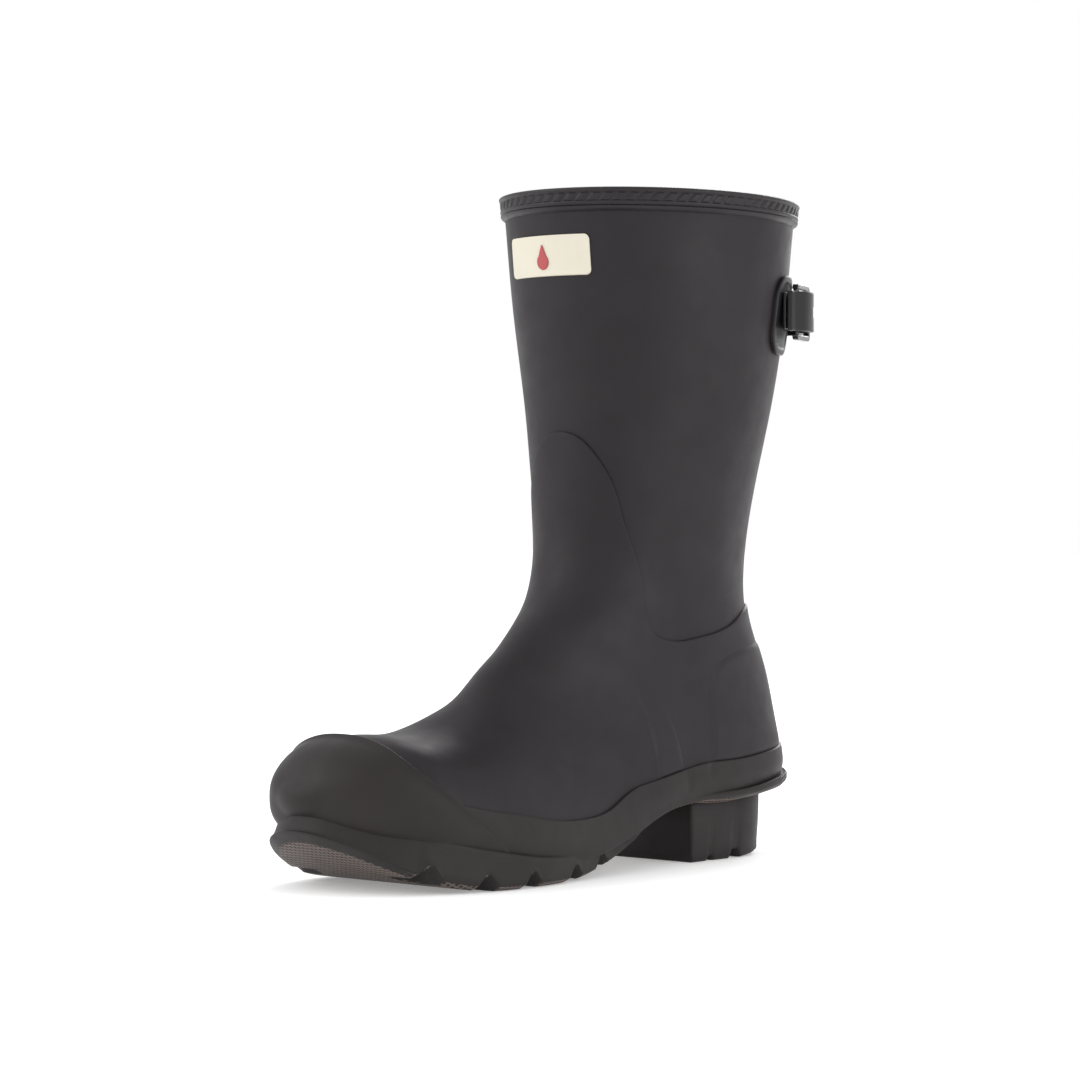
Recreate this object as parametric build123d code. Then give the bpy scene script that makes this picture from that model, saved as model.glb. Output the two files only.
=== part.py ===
from build123d import *
import math
import os

# Left rubber rain boot. Millimetres, +Z up, the sole stands on z = 0, the toe points to -Y and
# the wearer's outer (lateral) side is +X. "u" is the distance forward from the back of the heel.

# ---- overall sizes
sole_length = 280.0        # heel seat to toe tip
boot_height = 290.0        # floor to the front of the rim
rim_width = 122.6          # rubber leg across the rim
ankle_width = 88.0         # rubber leg across the ankle, 160 above the floor
ball_width = 92.0          # vamp across the ball of the foot

# ---- wall thicknesses, from the inside out
lining_wall = 1.0          # knitted lining
leg_wall = 2.2             # rubber leg and foot
puff_wall = 0.9            # stiffener set into the inside of the toe
gusset_wall = 1.4          # thin folding panel behind the strap
overlay_wall = 1.2         # vamp overlay
counter_wall = 0.7         # heel counter and instep stays, on the overlay
rand_wall = 1.4            # rand strip, on the overlay
toe_cap_wall = 1.6         # toe cap, on the overlay
bond_gap = 0.05            # between bonded layers

# ---- sole unit
heel_length = 67.0         # heel block, back to breast
heel_width = 62.0
heel_round = 32.0          # length of the heel block's rounded back
heel_setback = 9.0         # heel seat overhang behind the heel block
heel_tread_depth = 4.0
tread_rim = 14.0           # tread's rim round its middle recess
split_offset = 2.5         # tread's cross gap, forward of the heel block's middle
split_low = 4.0            # half width of the cross gap at the ground
split_high = 1.5           # and at its top
bevel_rise = 3.0           # heel tread's rise at its back
bevel_length = 34.0
filler_rim = 11.0          # heel wall round the heel filler
filler_floor = 4.0         # heel rubber between the tread and the filler
lug_depth = 3.2
lug_gap = 5.0
lug_reach = 15.0           # how far a lug gap runs in from the sole's edge
board_thickness = 2.0
footbed_thickness = 5.0
cover_thickness = 1.0
shank_length = 92.0
shank_width = 14.0
shank_thickness = 1.5
filler_depth = 2.5

# ---- rim band and label
band_height = 10.0
band_wall = 2.0
rim_cap = 1.2              # band rubber over the cut edge of the leg
label_width = 47.0
label_height = 17.0
label_wall = 0.9
label_drop = 20.0          # rim to the label's top edge
label_shift = -4.0         # label's middle, towards the medial side
label_corner = 2.2
motif_height = 11.0
motif_wall = 0.4

# ---- back gusset, strap and buckle
gusset_width = 30.0        # at the rim
gusset_depth = 118.0       # rim to the bottom of the V
strap_height = 240.0       # strap's centre line above the floor
strap_width = 17.4
strap_thickness = 2.4
strap_clearance = 2.0      # strap's inner face to the leg
patch_length = 27.0
patch_height = 34.0
patch_wall = 2.0
patch_angle = 26.0         # patch centre, degrees from the lateral side towards the back
bar_angle = 30.0           # buckle bar, degrees from the lateral side towards the back
bar_stand_off = 5.6        # leg surface to the bar's axis
buckle_turn = 114.0        # plan direction of the frame from its bar, degrees
bar_diameter = 2.6
frame_height = 24.6
frame_reach = 19.5         # bar to the far bar, centre to centre
frame_bar = 2.3            # width of the frame's members
frame_thickness = 2.6
tongue_width = 3.0
tongue_thickness = 1.8
tongue_ring = 1.4          # wall of the tongue's eye, and of the tab's fold
tab_thickness = 1.6
tab_width = 16.0
tab_length = 13.5
running_clearance = 0.08   # radial, round the bar
hole_clearance = 0.7       # strap hole round the tongue, each side
over_clearance = 1.2       # strap over the tongue's eye
under_clearance = 1.0      # strap under the far bar

# Reference proportions of the last that the station table is drawn on.
LAST_LENGTH = 280.0
LAST_HEIGHT = 290.0
LAST_RIM = 122.6
LAST_ANKLE = 88.0
LAST_BALL = 92.0
CUT_HALF = 60.0            # reach of a cut that runs right out of the sole or the heel
ANKLE_Z = 118.0            # below this height the foot keeps its own thickness
BACK_REACH = 5.1           # lip of the sole behind u = 0
FRONT_REACH = -2.0         # toe of the sole in front of u = LAST_LENGTH

length_scale = sole_length / LAST_LENGTH
Y_HEEL = (LAST_LENGTH + FRONT_REACH - BACK_REACH) / 2 * length_scale


def y_at(u):
    """Y of a point u forward of the heel, u in last units."""
    return Y_HEEL - u * length_scale


def z_at(z):
    """Height of a last point: the leg above the ankle stretches with the boot's height."""
    if z <= ANKLE_Z:
        return z
    return ANKLE_Z + (z - ANKLE_Z) * (boot_height - ANKLE_Z) / (LAST_HEIGHT - ANKLE_Z)


def last_z(z):
    """Last height of a real height above the ankle."""
    return ANKLE_Z + (z - ANKLE_Z) * (LAST_HEIGHT - ANKLE_Z) / (boot_height - ANKLE_Z)


def width_scale(z, u):
    """Width factor: ball width on the foot, ankle width at the ankle, rim width at the rim."""
    ball = ball_width / LAST_BALL
    ankle = ankle_width / LAST_ANKLE
    rim = rim_width / LAST_RIM
    if z > 160:
        share = min((z - 160) / (LAST_HEIGHT - 160), 1.2)
        return ankle + (rim - ankle) * share
    if u < 134:
        return ankle
    share = min((u - 134) / 66, 1.0)
    return ankle + (ball - ankle) * share


# Stations of the rubber surface, rim to toe: front point (u, z), back point (u, z), half width to the
# lateral and to the medial side, sideways shift, where the widest line lies from the back point (0)
# to the front point (1), and the roundness (2 = ellipse) of the front and of the back half.
STATIONS = [
    (137.0, 300.0, -1.6, 297.0, 62.4, 62.4, 0.0, 0.50, 2.0, 2.0),
    (136.0, 290.0, -0.5, 287.0, 61.3, 61.3, 0.0, 0.50, 2.0, 2.0),
    (131.5, 243.0, 4.5, 241.0, 57.5, 57.5, 0.0, 0.50, 2.0, 2.0),
    (127.0, 196.0, 11.0, 195.0, 50.5, 50.5, 0.0, 0.50, 2.0, 2.0),
    (126.5, 160.0, 18.5, 156.0, 43.6, 43.6, 0.0, 0.50, 2.0, 2.0),
    (127.8, 134.0, 21.5, 125.0, 39.4, 39.4, 0.0, 0.48, 2.0, 2.0),
    (134.6, 117.5, 18.5, 103.0, 37.8, 37.8, 0.0, 0.45, 2.0, 2.1),
    (143.0, 108.5, 9.0, 82.0, 37.3, 37.3, 0.0, 0.42, 2.0, 2.2),
    (152.0, 101.0, 2.0, 58.0, 37.0, 37.0, 0.0, 0.38, 2.0, 2.3),
    (160.0, 94.5, 0.8, 40.0, 37.2, 37.2, 0.0, 0.34, 2.0, 2.6),
    (168.0, 89.0, 4.5, 24.0, 37.5, 37.0, 0.0, 0.32, 2.0, 2.8),
    (174.0, 84.7, 22.0, 12.0, 37.5, 35.5, 0.0, 0.32, 2.0, 3.0),
    (181.0, 79.3, 55.0, 6.0, 37.8, 34.0, 0.5, 0.32, 2.0, 3.2),
    (188.5, 74.0, 95.0, 3.0, 39.0, 34.0, 1.0, 0.33, 2.0, 3.4),
    (197.0, 69.3, 135.0, 2.0, 42.0, 38.0, 0.5, 0.34, 2.0, 3.6),
    (206.0, 64.9, 168.0, 2.0, 45.0, 43.0, -1.0, 0.35, 2.0, 3.8),
    (217.0, 61.6, 196.0, 4.0, 45.5, 44.5, -2.0, 0.36, 2.1, 3.8),
    (232.0, 60.8, 223.0, 9.0, 43.0, 42.5, -3.0, 0.38, 2.2, 3.8),
    (246.5, 60.8, 243.5, 17.0, 38.0, 37.5, -5.0, 0.40, 2.3, 3.6),
    (258.5, 56.6, 257.5, 22.0, 30.0, 29.0, -7.0, 0.42, 2.3, 3.2),
    (266.5, 49.5, 266.5, 28.0, 20.0, 20.5, -8.0, 0.45, 2.3, 2.8),
    (270.5, 43.0, 270.5, 33.5, 10.0, 11.0, -9.0, 0.50, 2.2, 2.4),
]
HALF_POINTS = 12           # steps of each half section
TOE_ROUND_FROM = 240.0     # from here forward the walls also thicken towards the toe tip
TOE_ROUND = 30.5

# Side-view lines of the boot, as (u, z) points.
SOLE_TOP = [(-12, 39), (10, 36.5), (27, 34.5), (41, 32.5), (55, 31.3), (78, 30.5), (92, 29.5), (104, 27.5),
            (118, 23.5), (132, 19.5), (146, 15.5), (159, 13), (173, 12), (185, 12), (196, 13), (205, 14.5),
            (225, 18.5), (245, 24), (262, 30), (290, 38)]
SOLE_UNDER_HEEL = [(-12, 30), (10, 28.3), (33, 26.8), (50, 25.4), (66, 25.2), (80, 25.4), (90, 24.3),
                   (108, 19), (130, 9), (150, 2.6), (165, 0.5), (178, 0)]
SOLE_UNDER_TOE = [(215, 0), (228, 1.4), (245, 5.5), (263, 14), (290, 31)]
RAND_TOP = [(-12, 53), (16, 49), (37, 46.5), (58, 44.5), (75, 44), (94, 41), (112, 38), (124, 36), (135, 32),
            (145, 28), (158, 26), (176, 26), (192, 28), (203, 30), (216, 32), (233, 36), (245, 40)]
OVERLAY_TOP = [(-12, 116), (17, 113), (43, 109), (58, 103), (69, 100), (81, 98), (92, 97), (98, 98),
               (104, 101), (107, 108), (108, 120), (111, 135), (115, 149), (118, 162), (121, 172),
               (124, 181), (127, 188), (135, 196)]
TOE_CAP_REAR = [(251, 75), (251, 60), (248, 51), (239, 42), (226, 31), (211, 19), (196, 2)]
COUNTER_EDGE = [(-12, 96), (20, 96), (45, 94), (59, 91), (67, 87), (71, 82), (71.5, 60), (73, 40)]
STAY_REAR = [(106, 86), (100, 76), (96, 67), (92, 56), (88, 34)]
STAY_FRONT = [(122, 86), (116, 75), (112, 66), (108, 52), (110, 32)]
ANKLE_SPLIT = [(-12, 100), (60, 112), (170, 128), (330, 150)]

# Plan outlines, as (x, u) points.
SOLE_OUTLINE = [(0, -4.6), (22, 0.5), (35.5, 20), (39.5, 45), (38.5, 75), (38, 110), (41, 145), (47, 183),
                (46.5, 212), (37.5, 241), (19, 267), (-8, 278), (-30, 270), (-44, 247), (-49, 218),
                (-47, 186), (-40, 152), (-35, 118), (-36, 80), (-39, 45), (-35, 20), (-22, 0.5)]
SPARE_HOLES = [96, 108, 120]   # plan angles of the strap's spare holes
HOLE_START = 0.88              # used hole's far end, in frame reaches from the bar
HOLE_LENGTH = 0.62             # and its length, so that the tongue can swing out in it
SHANK_START = 55.0             # arch shank's rear end
FILLER_START, FILLER_END = 168.0, 250.0
FILLER_HALF_WIDTH = 32.0
FILLER_SHIFT = -2.0            # towards the medial side
LUG_PLACES = [244, 220, 196, 167, 147]


def section(row, offset):
    """Closed section of the boot surface, grown outward by offset."""
    front_u, front_z, back_u, back_z, lateral, medial, shift, wide, front_n, back_n = row
    scale = width_scale((front_z + back_z) / 2, front_u)
    front = Vector(0, y_at(front_u), z_at(front_z))
    back = Vector(0, y_at(back_u), z_at(back_z))
    length = (front - back).length
    along = (front - back).normalized()
    # The toe end moves forward with the offset, and a smaller solid reaches higher over the rim.
    advance = Vector(1, 0, 0).cross(along)
    share = 1.0 if row is STATIONS[0] else min(max((front_u - TOE_ROUND_FROM) / TOE_ROUND, 0.0), 1.0)
    middle = back + along * (wide * length) + advance * (offset * share)

    def at(angle):
        c, s = math.cos(angle), math.sin(angle)
        power = 2 / (front_n if c > 0 else back_n)
        reach = ((1 - wide) if c > 0 else wide) * length + offset
        half = (lateral if s > 0 else medial) * scale + offset
        x = shift * scale + math.copysign(half * abs(s) ** power, s)
        return Vector(x, 0, 0) + middle + along * math.copysign(reach * abs(c) ** power, c)

    # Both halves of every section have the same even steps, so that the loft shares one set of knots.
    lateral_half = [at(math.pi * i / 90) for i in range(91)]
    medial_half = [at(math.pi * (1 + i / 90)) for i in range(91)]
    return Wire([even_spline(lateral_half, 1), even_spline(medial_half, -1)])


def even_spline(line, side_sign):
    """Spline in HALF_POINTS even steps along a finely sampled line that starts and ends across X."""
    reach = [0.0]
    for a, b in zip(line, line[1:]):
        reach.append(reach[-1] + (b - a).length)
    points, k = [line[0]], 0
    for i in range(1, HALF_POINTS):
        want = reach[-1] * i / HALF_POINTS
        while reach[k + 1] < want:
            k += 1
        points.append(line[k] + (line[k + 1] - line[k]) * ((want - reach[k]) / (reach[k + 1] - reach[k])))
    points.append(line[-1])
    steps = [i / HALF_POINTS for i in range(HALF_POINTS + 1)]
    start = Vector(side_sign * reach[-1], 0, 0)
    return Edge.make_spline(points, tangents=[start, -start], parameters=steps, scale=False)


lasts = {}


def last(offset):
    """Solid inside the boot surface moved outward by offset."""
    key = round(offset, 3)
    if key not in lasts:
        lasts[key] = Solid.make_loft([section(row, offset) for row in STATIONS])
    return lasts[key]


def layer(inner, outer, *regions):
    """Wall between two offsets of the boot surface, inside every region."""
    wall = last(outer)
    for region in regions:
        wall = wall & region
    return wall - last(inner)


def side(points, spline=True, lift=0.0):
    """Side-view line from (u, z) points."""
    line = [Vector(0, y_at(u), z_at(z) + lift) for u, z in points]
    return [Spline(*line)] if spline else [Line(a, b) for a, b in zip(line, line[1:])]


def side_prism(edges, half=90.0, x_from=None):
    """Block with a side-view outline, from x_from (or -half) to +half."""
    face = Face(Wire(edges))
    start = -half if x_from is None else x_from
    face = face.moved(Location((start, 0, 0)))
    return Solid.extrude(face, Vector(half - start, 0, 0))


def above(line, top=340.0):
    """Edges of the side-view area over a line."""
    a, b = line[0] @ 0, line[-1] @ 1
    high_a, high_b = Vector(0, a.Y, top), Vector(0, b.Y, top)
    return line + [Line(b, high_b), Line(high_b, high_a), Line(high_a, a)]


def below(line, bottom=-40.0):
    a, b = line[0] @ 0, line[-1] @ 1
    low_a, low_b = Vector(0, a.Y, bottom), Vector(0, b.Y, bottom)
    return line + [Line(b, low_b), Line(low_b, low_a), Line(low_a, a)]


def over_sole(lift=bond_gap):
    return side_prism(above(side(SOLE_TOP, lift=lift)))


def rim_line(lift=0.0):
    """Straight side-view line of the rim, lower at the back."""
    front, back = STATIONS[1][:2], STATIONS[1][2:4]
    slope = (front[1] - back[1]) / (front[0] - back[0])
    ends = [(u, back[1] + slope * (u - back[0])) for u in (-30, 330)]
    return side(ends, spline=False, lift=lift)


def under_rim(lift=0.0):
    return side_prism(below(rim_line(lift)))


def toe_region():
    line = side(TOE_CAP_REAR)
    a, b = line[0] @ 0, line[-1] @ 1
    far = y_at(300)
    corners = [Vector(0, far, b.Z), Vector(0, far, a.Z)]
    return side_prism(line + [Line(b, corners[0]), Line(corners[0], corners[1]), Line(corners[1], a)])


def outline_block(points, low, high):
    """Upright block with a smooth plan outline."""
    outline = [Vector(x, y_at(u), low) for x, u in points]
    face = Face(Wire([Spline(*outline, periodic=True)]))
    return Solid.extrude(face, Vector(0, 0, high - low))


def leg_plan(z):
    """Centre Y and half axes of the leg's plan ellipse at height z."""
    z_ref = last_z(z)
    rows = STATIONS[1:5]
    for upper, lower in zip(rows, rows[1:]):
        if (upper[1] + upper[3]) / 2 >= z_ref >= (lower[1] + lower[3]) / 2:
            break
    high, low = (upper[1] + upper[3]) / 2, (lower[1] + lower[3]) / 2
    t = (z_ref - low) / (high - low)
    front, back, half = (lower[i] + (upper[i] - lower[i]) * t for i in (0, 2, 4))
    return y_at((front + back) / 2), half * width_scale(z_ref, 0), (front - back) / 2 * length_scale


def leg_point(angle, stand_off, z=None):
    """Point beside the leg whose outward normal has this plan angle, and that normal."""
    z = strap_height if z is None else z
    centre_y, half_x, half_y = leg_plan(z)
    normal = Vector(math.cos(math.radians(angle)), math.sin(math.radians(angle)), 0)
    size = math.hypot(half_x * normal.X, half_y * normal.Y)
    base = Vector(half_x ** 2 * normal.X / size, half_y ** 2 * normal.Y / size + centre_y, z)
    return base + normal * stand_off, normal


# ---- foot and leg

def make_rubber():
    """Leg and foot rubber with the gusset's V cut out and a seat for the toe stiffener."""
    rubber = layer(-leg_wall, 0, over_sole(), under_rim(-rim_cap - bond_gap))
    puff_seat = last(-leg_wall + puff_wall + bond_gap) & toe_region()
    return rubber - gusset_block(0) - puff_seat


def gusset_block(gap):
    """Back V of the leg, from the rim down, gap smaller all round."""
    top = boot_height + 20
    half = gusset_width / 2 * (gusset_depth + 20) / gusset_depth
    tip = boot_height - gusset_depth
    y = y_at(60)
    corners = [Vector(-half + gap, y, top), Vector(half - gap, y, top), Vector(3 - gap, y, tip + gap),
               Vector(-3 + gap, y, tip + gap)]
    face = Face(Wire([Line(a, b) for a, b in zip(corners, corners[1:] + corners[:1])]))
    return Solid.extrude(face, Vector(0, 90 * length_scale, 0))


def make_gusset():
    regions = gusset_block(bond_gap), under_rim(-rim_cap - bond_gap)
    return layer(-leg_wall, -leg_wall + gusset_wall, *regions)


def make_toe_puff():
    return layer(-leg_wall, -leg_wall + puff_wall, toe_region(), over_sole())


def make_lining():
    """Leg and foot linings, meeting on a line over the ankle."""
    inner = -leg_wall - bond_gap - lining_wall
    outer = -leg_wall - bond_gap
    high = layer(inner, outer, side_prism(above(side(ANKLE_SPLIT, lift=bond_gap))),
                 under_rim(-rim_cap - bond_gap))
    low = layer(inner, outer, side_prism(below(side(ANKLE_SPLIT))),
                over_sole(board_thickness + 2 * bond_gap))
    return high, low


def floor_layer(offset, low, high):
    """Flat layer inside the foot, between two lifts over the sole's top line."""
    slab = last(offset) & side_prism(above(side(SOLE_TOP, lift=low)))
    return slab & side_prism(below(side(SOLE_TOP, lift=high)))


def make_overlay():
    top = side(OVERLAY_TOP)
    peak = top[-1] @ 1
    top.append(Line(peak, Vector(0, y_at(330), peak.Z)))
    return layer(bond_gap, overlay_wall, side_prism(below(top)), over_sole())


def make_toe_cap():
    return layer(overlay_wall + bond_gap, overlay_wall + toe_cap_wall, toe_region(), over_sole())


def make_rand():
    regions = side_prism(below(side(RAND_TOP))), over_sole()
    return layer(overlay_wall + bond_gap, overlay_wall + rand_wall, *regions) - toe_gap_region()


def toe_gap_region():
    """Toe cap region widened by the bond gap, for what butts on the toe cap."""
    return toe_region().moved(Location((0, bond_gap, 0)))


def over_rand():
    return side_prism(above(side(RAND_TOP, lift=bond_gap)))


def make_counter():
    edge = side(COUNTER_EDGE)
    a, b = edge[0] @ 0, edge[-1] @ 1
    corner = Vector(0, a.Y, b.Z)
    region = side_prism(edge + [Line(b, corner), Line(corner, a)])
    return layer(overlay_wall + bond_gap, overlay_wall + counter_wall, region, over_rand())


def make_stay(x_from, x_to):
    """Soft stiffening strip from the instep to the rand, on one side of the foot."""
    rear, front = side(STAY_REAR), side(STAY_FRONT)
    edges = rear + [Line(rear[-1] @ 1, front[-1] @ 1)] + front + [Line(front[0] @ 0, rear[0] @ 0)]
    face = Face(Wire(edges)).moved(Location((x_from, 0, 0)))
    region = Solid.extrude(face, Vector(x_to - x_from, 0, 0))
    return layer(overlay_wall + bond_gap, overlay_wall + counter_wall, region, over_rand())


# ---- sole unit

def sole_under(lift=0.0):
    heel_part = [Vector(0, y_at(u), z + lift) for u, z in SOLE_UNDER_HEEL]
    toe_part = [Vector(0, y_at(u), z + lift) for u, z in SOLE_UNDER_TOE]
    flat = Vector(0, -1, 0)
    return [Spline(*heel_part, tangents=[Vector(0, -1, -0.06), flat]), Line(heel_part[-1], toe_part[0]),
            Spline(*toe_part, tangents=[flat, Vector(0, -1, 0.65)])]


def lug_gap_block(u):
    """V gap across the sole's edge, open downward, at both sides."""
    y, under = y_at(u), sole_bottom_z(u)
    tip = Vector(0, y, under + lug_depth)
    left, right = Vector(0, y + lug_gap, under - lug_depth), Vector(0, y - lug_gap, under - lug_depth)
    return Face(Wire([Line(left, tip), Line(tip, right), Line(right, left)]))


def sole_bottom_z(u):
    """Height of the sole's underside at u, straight between the outline's points."""
    line = SOLE_UNDER_HEEL + SOLE_UNDER_TOE
    for (u0, z0), (u1, z1) in zip(line, line[1:]):
        if u0 <= u <= u1:
            return z0 + (z1 - z0) * (u - u0) / (u1 - u0)
    return 0.0


def sole_half_widths(u):
    """Lateral and medial X of the sole's outline at u."""
    xs = []
    ring = SOLE_OUTLINE + SOLE_OUTLINE[:1]
    for (x0, u0), (x1, u1) in zip(ring, ring[1:]):
        if min(u0, u1) <= u < max(u0, u1):
            xs.append(x0 + (x1 - x0) * (u - u0) / (u1 - u0))
    scale = ball_width / LAST_BALL
    return max(xs) * scale, min(xs) * scale


def sole_outline():
    scale = ball_width / LAST_BALL
    return [(x * scale, u) for x, u in SOLE_OUTLINE]


def make_outsole():
    slab = outline_block(sole_outline(), -5, 60) & side_prism(below(side(SOLE_TOP)))
    slab = slab & side_prism(above(sole_under()))
    for u in LUG_PLACES:
        lateral, medial = sole_half_widths(u)
        gap = lug_gap_block(u)
        slab -= Solid.extrude(gap.moved(Location((lateral - lug_reach, 0, 0))), Vector(CUT_HALF, 0, 0))
        slab -= Solid.extrude(gap.moved(Location((medial + lug_reach, 0, 0))), Vector(-CUT_HALF, 0, 0))
    return slab - shank_block(bond_gap) - filler_block(bond_gap)


def shank_block(gap):
    """Steel strip under the arch, let into the sole's top."""
    y0 = y_at(SHANK_START) + gap
    length = shank_length + 2 * gap
    box = Solid.make_box(shank_width + 2 * gap, length, 80)
    box = box.moved(Location((-shank_width / 2 - gap, y0 - length, 0)))
    lift_low = -shank_thickness - gap
    return box & side_prism(below(side(SOLE_TOP))) & side_prism(above(side(SOLE_TOP, lift=lift_low)))


def filler_block(gap):
    """Flat forefoot filler, let into the sole's top."""
    half_width = FILLER_HALF_WIDTH * ball_width / LAST_BALL + gap
    half_length = (FILLER_END - FILLER_START) / 2 * length_scale + gap
    face = Face(Wire([Edge.make_ellipse(half_width, half_length)]))
    block = Solid.extrude(face, Vector(0, 0, 80))
    block = block.moved(Location((FILLER_SHIFT, y_at((FILLER_START + FILLER_END) / 2), 0)))
    lift_low = -filler_depth - gap
    return block & side_prism(below(side(SOLE_TOP))) & side_prism(above(side(SOLE_TOP, lift=lift_low)))


def heel_outline():
    """Heel block's plan: round back, straight sides, straight breast."""
    half = heel_width / 2
    back = y_at(0) - heel_setback
    breast = back - heel_length
    side_start = back - heel_round
    curve = EllipticalCenterArc((0, side_start), half, heel_round, 0, arc_size=180)
    corners = [Vector(-half, side_start, 0), Vector(-half, breast, 0), Vector(half, breast, 0),
               Vector(half, side_start, 0)]
    return [curve] + [Line(a, b) for a, b in zip(corners, corners[1:])]


def make_heel():
    """Heel block with a hollow top for its filler and a tread on the ground."""
    block = Solid.extrude(Face(Wire(heel_outline())), Vector(0, 0, 40))
    block = block & side_prism(below(sole_under(-bond_gap)))
    middle_y = y_at(0) - heel_setback - heel_length / 2
    recess_x, recess_y = heel_width - 2 * tread_rim, heel_length - 2 * tread_rim
    recess = Solid.make_box(recess_x, recess_y, heel_tread_depth)
    recess = recess.moved(Location((-recess_x / 2, middle_y - recess_y / 2, 0)))
    split_y = y_at(0) - heel_setback - heel_length / 2 - split_offset
    gap = [Vector(0, split_y + split_low, -1), Vector(0, split_y + split_high, heel_tread_depth),
           Vector(0, split_y - split_high, heel_tread_depth), Vector(0, split_y - split_low, -1)]
    face = Face(Wire([Line(a, b) for a, b in zip(gap, gap[1:] + gap[:1])]))
    channel = Solid.extrude(face.moved(Location((-CUT_HALF, 0, 0))), Vector(2 * CUT_HALF, 0, 0))
    hollow = heel_filler_block(bond_gap)
    return block - recess - channel - hollow - heel_bevel_block()


def heel_bevel_block():
    """Wedge under the back of the heel, which the tread rises over."""
    back = y_at(0)
    edge = back - heel_setback
    start = edge - bevel_length
    places = ((back, -1), (start, -1), (start, 0), (edge, bevel_rise), (back, bevel_rise))
    corners = [Vector(-CUT_HALF, y, z) for y, z in places]
    face = Face(Wire([Line(a, b) for a, b in zip(corners, corners[1:] + corners[:1])]))
    return Solid.extrude(face, Vector(2 * CUT_HALF, 0, 0))


def heel_filler_block(gap):
    middle_y = y_at(0) - heel_setback - heel_length / 2
    size_x = heel_width - 2 * filler_rim + 2 * gap
    size_y = heel_length - 2 * filler_rim + 2 * gap
    box = Solid.make_box(size_x, size_y, 60)
    box = box.moved(Location((-size_x / 2, middle_y - size_y / 2, heel_tread_depth + filler_floor - gap)))
    return box & side_prism(below(sole_under(-bond_gap)))


# ---- rim band, label

def make_band():
    """Rim band, turned over the cut edge of the leg and the lining."""
    sleeve = layer(bond_gap, band_wall, under_rim(), side_prism(above(rim_line(-band_height))))
    inner = -leg_wall - bond_gap - lining_wall
    cap = layer(inner, band_wall, under_rim(), side_prism(above(rim_line(-rim_cap))))
    return sleeve + cap


def front_block(face_points, y_from=60):
    """Block with a front-view outline, from y_at(y_from) forward."""
    face = Face(Wire(face_points)).moved(Location((0, y_at(y_from), 0)))
    return Solid.extrude(face, Vector(0, -120 * length_scale, 0))


def make_label():
    """Rounded label plate and its raised drop motif, on the front of the leg."""
    middle_z = boot_height - label_drop - label_height / 2
    plate = RectangleRounded(label_width, label_height, label_corner).face()
    plate = plate.rotate(Axis.X, 90).moved(Location((label_shift, 0, middle_z)))
    block = front_block(plate.outer_wire().edges())
    label = layer(bond_gap, label_wall, block)
    drop_half = motif_height * 0.3
    bottom = middle_z - motif_height / 2
    tip = Vector(label_shift, 0, middle_z + motif_height / 2)
    low = Vector(label_shift, 0, bottom)
    right = Vector(label_shift + drop_half, 0, bottom + drop_half)
    left = Vector(label_shift - drop_half, 0, bottom + drop_half)
    drop = [Spline(tip, right, low, left, tip, tangents=[Vector(0.35, 0, -1), Vector(0.35, 0, 1)])]
    motif = layer(label_wall + bond_gap, label_wall + motif_wall, front_block(drop))
    return label, motif


# ---- strap and buckle

def patch_block(angle):
    """Rounded block that cuts one strap patch out of a shell."""
    point, normal = leg_point(angle, -12)
    plane = Plane(origin=(point.X, point.Y, point.Z - 2), x_dir=(-normal.Y, normal.X, 0), z_dir=normal)
    return Solid.extrude((plane * RectangleRounded(patch_length, patch_height, 11.0)).face(), normal * 30)


def make_patch(angle):
    return layer(bond_gap, patch_wall, patch_block(angle))


def ribbon(path, thickness, low, high):
    """Upright strip that follows a plan curve."""
    count = 44
    left, right = [], []
    for i in range(count + 1):
        t = i / count
        point, along = path @ t, path % t
        normal = Vector(-along.Y, along.X, 0).normalized() * (thickness / 2)
        left.append(Vector(point.X + normal.X, point.Y + normal.Y, low))
        right.append(Vector(point.X - normal.X, point.Y - normal.Y, low))
    edges = [Spline(*left), Line(left[-1], right[-1]), Spline(*right[::-1]), Line(right[0], left[0])]
    return Solid.extrude(Face(Wire(edges)), Vector(0, 0, high - low))


def buckle_plane():
    """Plane at the buckle bar: X runs from the far bar to the bar, Y outward, Z up."""
    origin, _ = leg_point(bar_angle, bar_stand_off)
    turn = math.radians(buckle_turn)
    return Plane(origin=origin, x_dir=(-math.cos(turn), -math.sin(turn), 0), z_dir=(0, 0, 1))


ring_outer = bar_diameter / 2 + running_clearance + tongue_ring
tongue_y = ring_outer - tongue_thickness / 2
strap_under = -frame_thickness / 2 - under_clearance - strap_thickness / 2
strap_over = ring_outer + over_clearance + strap_thickness / 2


def at_buckle(x, y):
    return buckle_plane().from_local_coords(Vector(x, y, 0))


def strap_path():
    """Strap's centre line: round the back of the leg, under the far bar, over the bar, to its tip."""
    stand_off = strap_clearance + strap_thickness / 2
    medial = patch_stand_off()
    end = 180 - patch_angle + 5
    points = [leg_point(a, medial)[0] for a in (end, end - 8)] + [leg_point(end - 20, stand_off + 0.3)[0]]
    points += [leg_point(a, stand_off)[0] for a in (124, 107, 90)]
    points += [leg_point(74, stand_off + 0.5)[0]]
    local = [(-frame_reach - 7, strap_under - 0.7), (-frame_reach, strap_under), (-frame_reach * 0.83, -1.4),
             (-frame_reach * 0.62, 2.4), (-frame_reach * 0.4, strap_over - 0.4), (0, strap_over),
             (5, 3.6), (9.5, tail_y() + 0.3), (13, tail_y())]
    return Spline(*points, *[at_buckle(x, y) for x, y in local])


def patch_stand_off():
    """Strap centre line over the medial patch; the leg is wider at the strap's upper edge."""
    return patch_wall + strap_thickness / 2 + 0.8


def tail_y():
    """Strap tip's centre line, lying on the anchor tab."""
    return -ring_outer + tab_thickness + 0.5 + strap_thickness / 2


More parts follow.
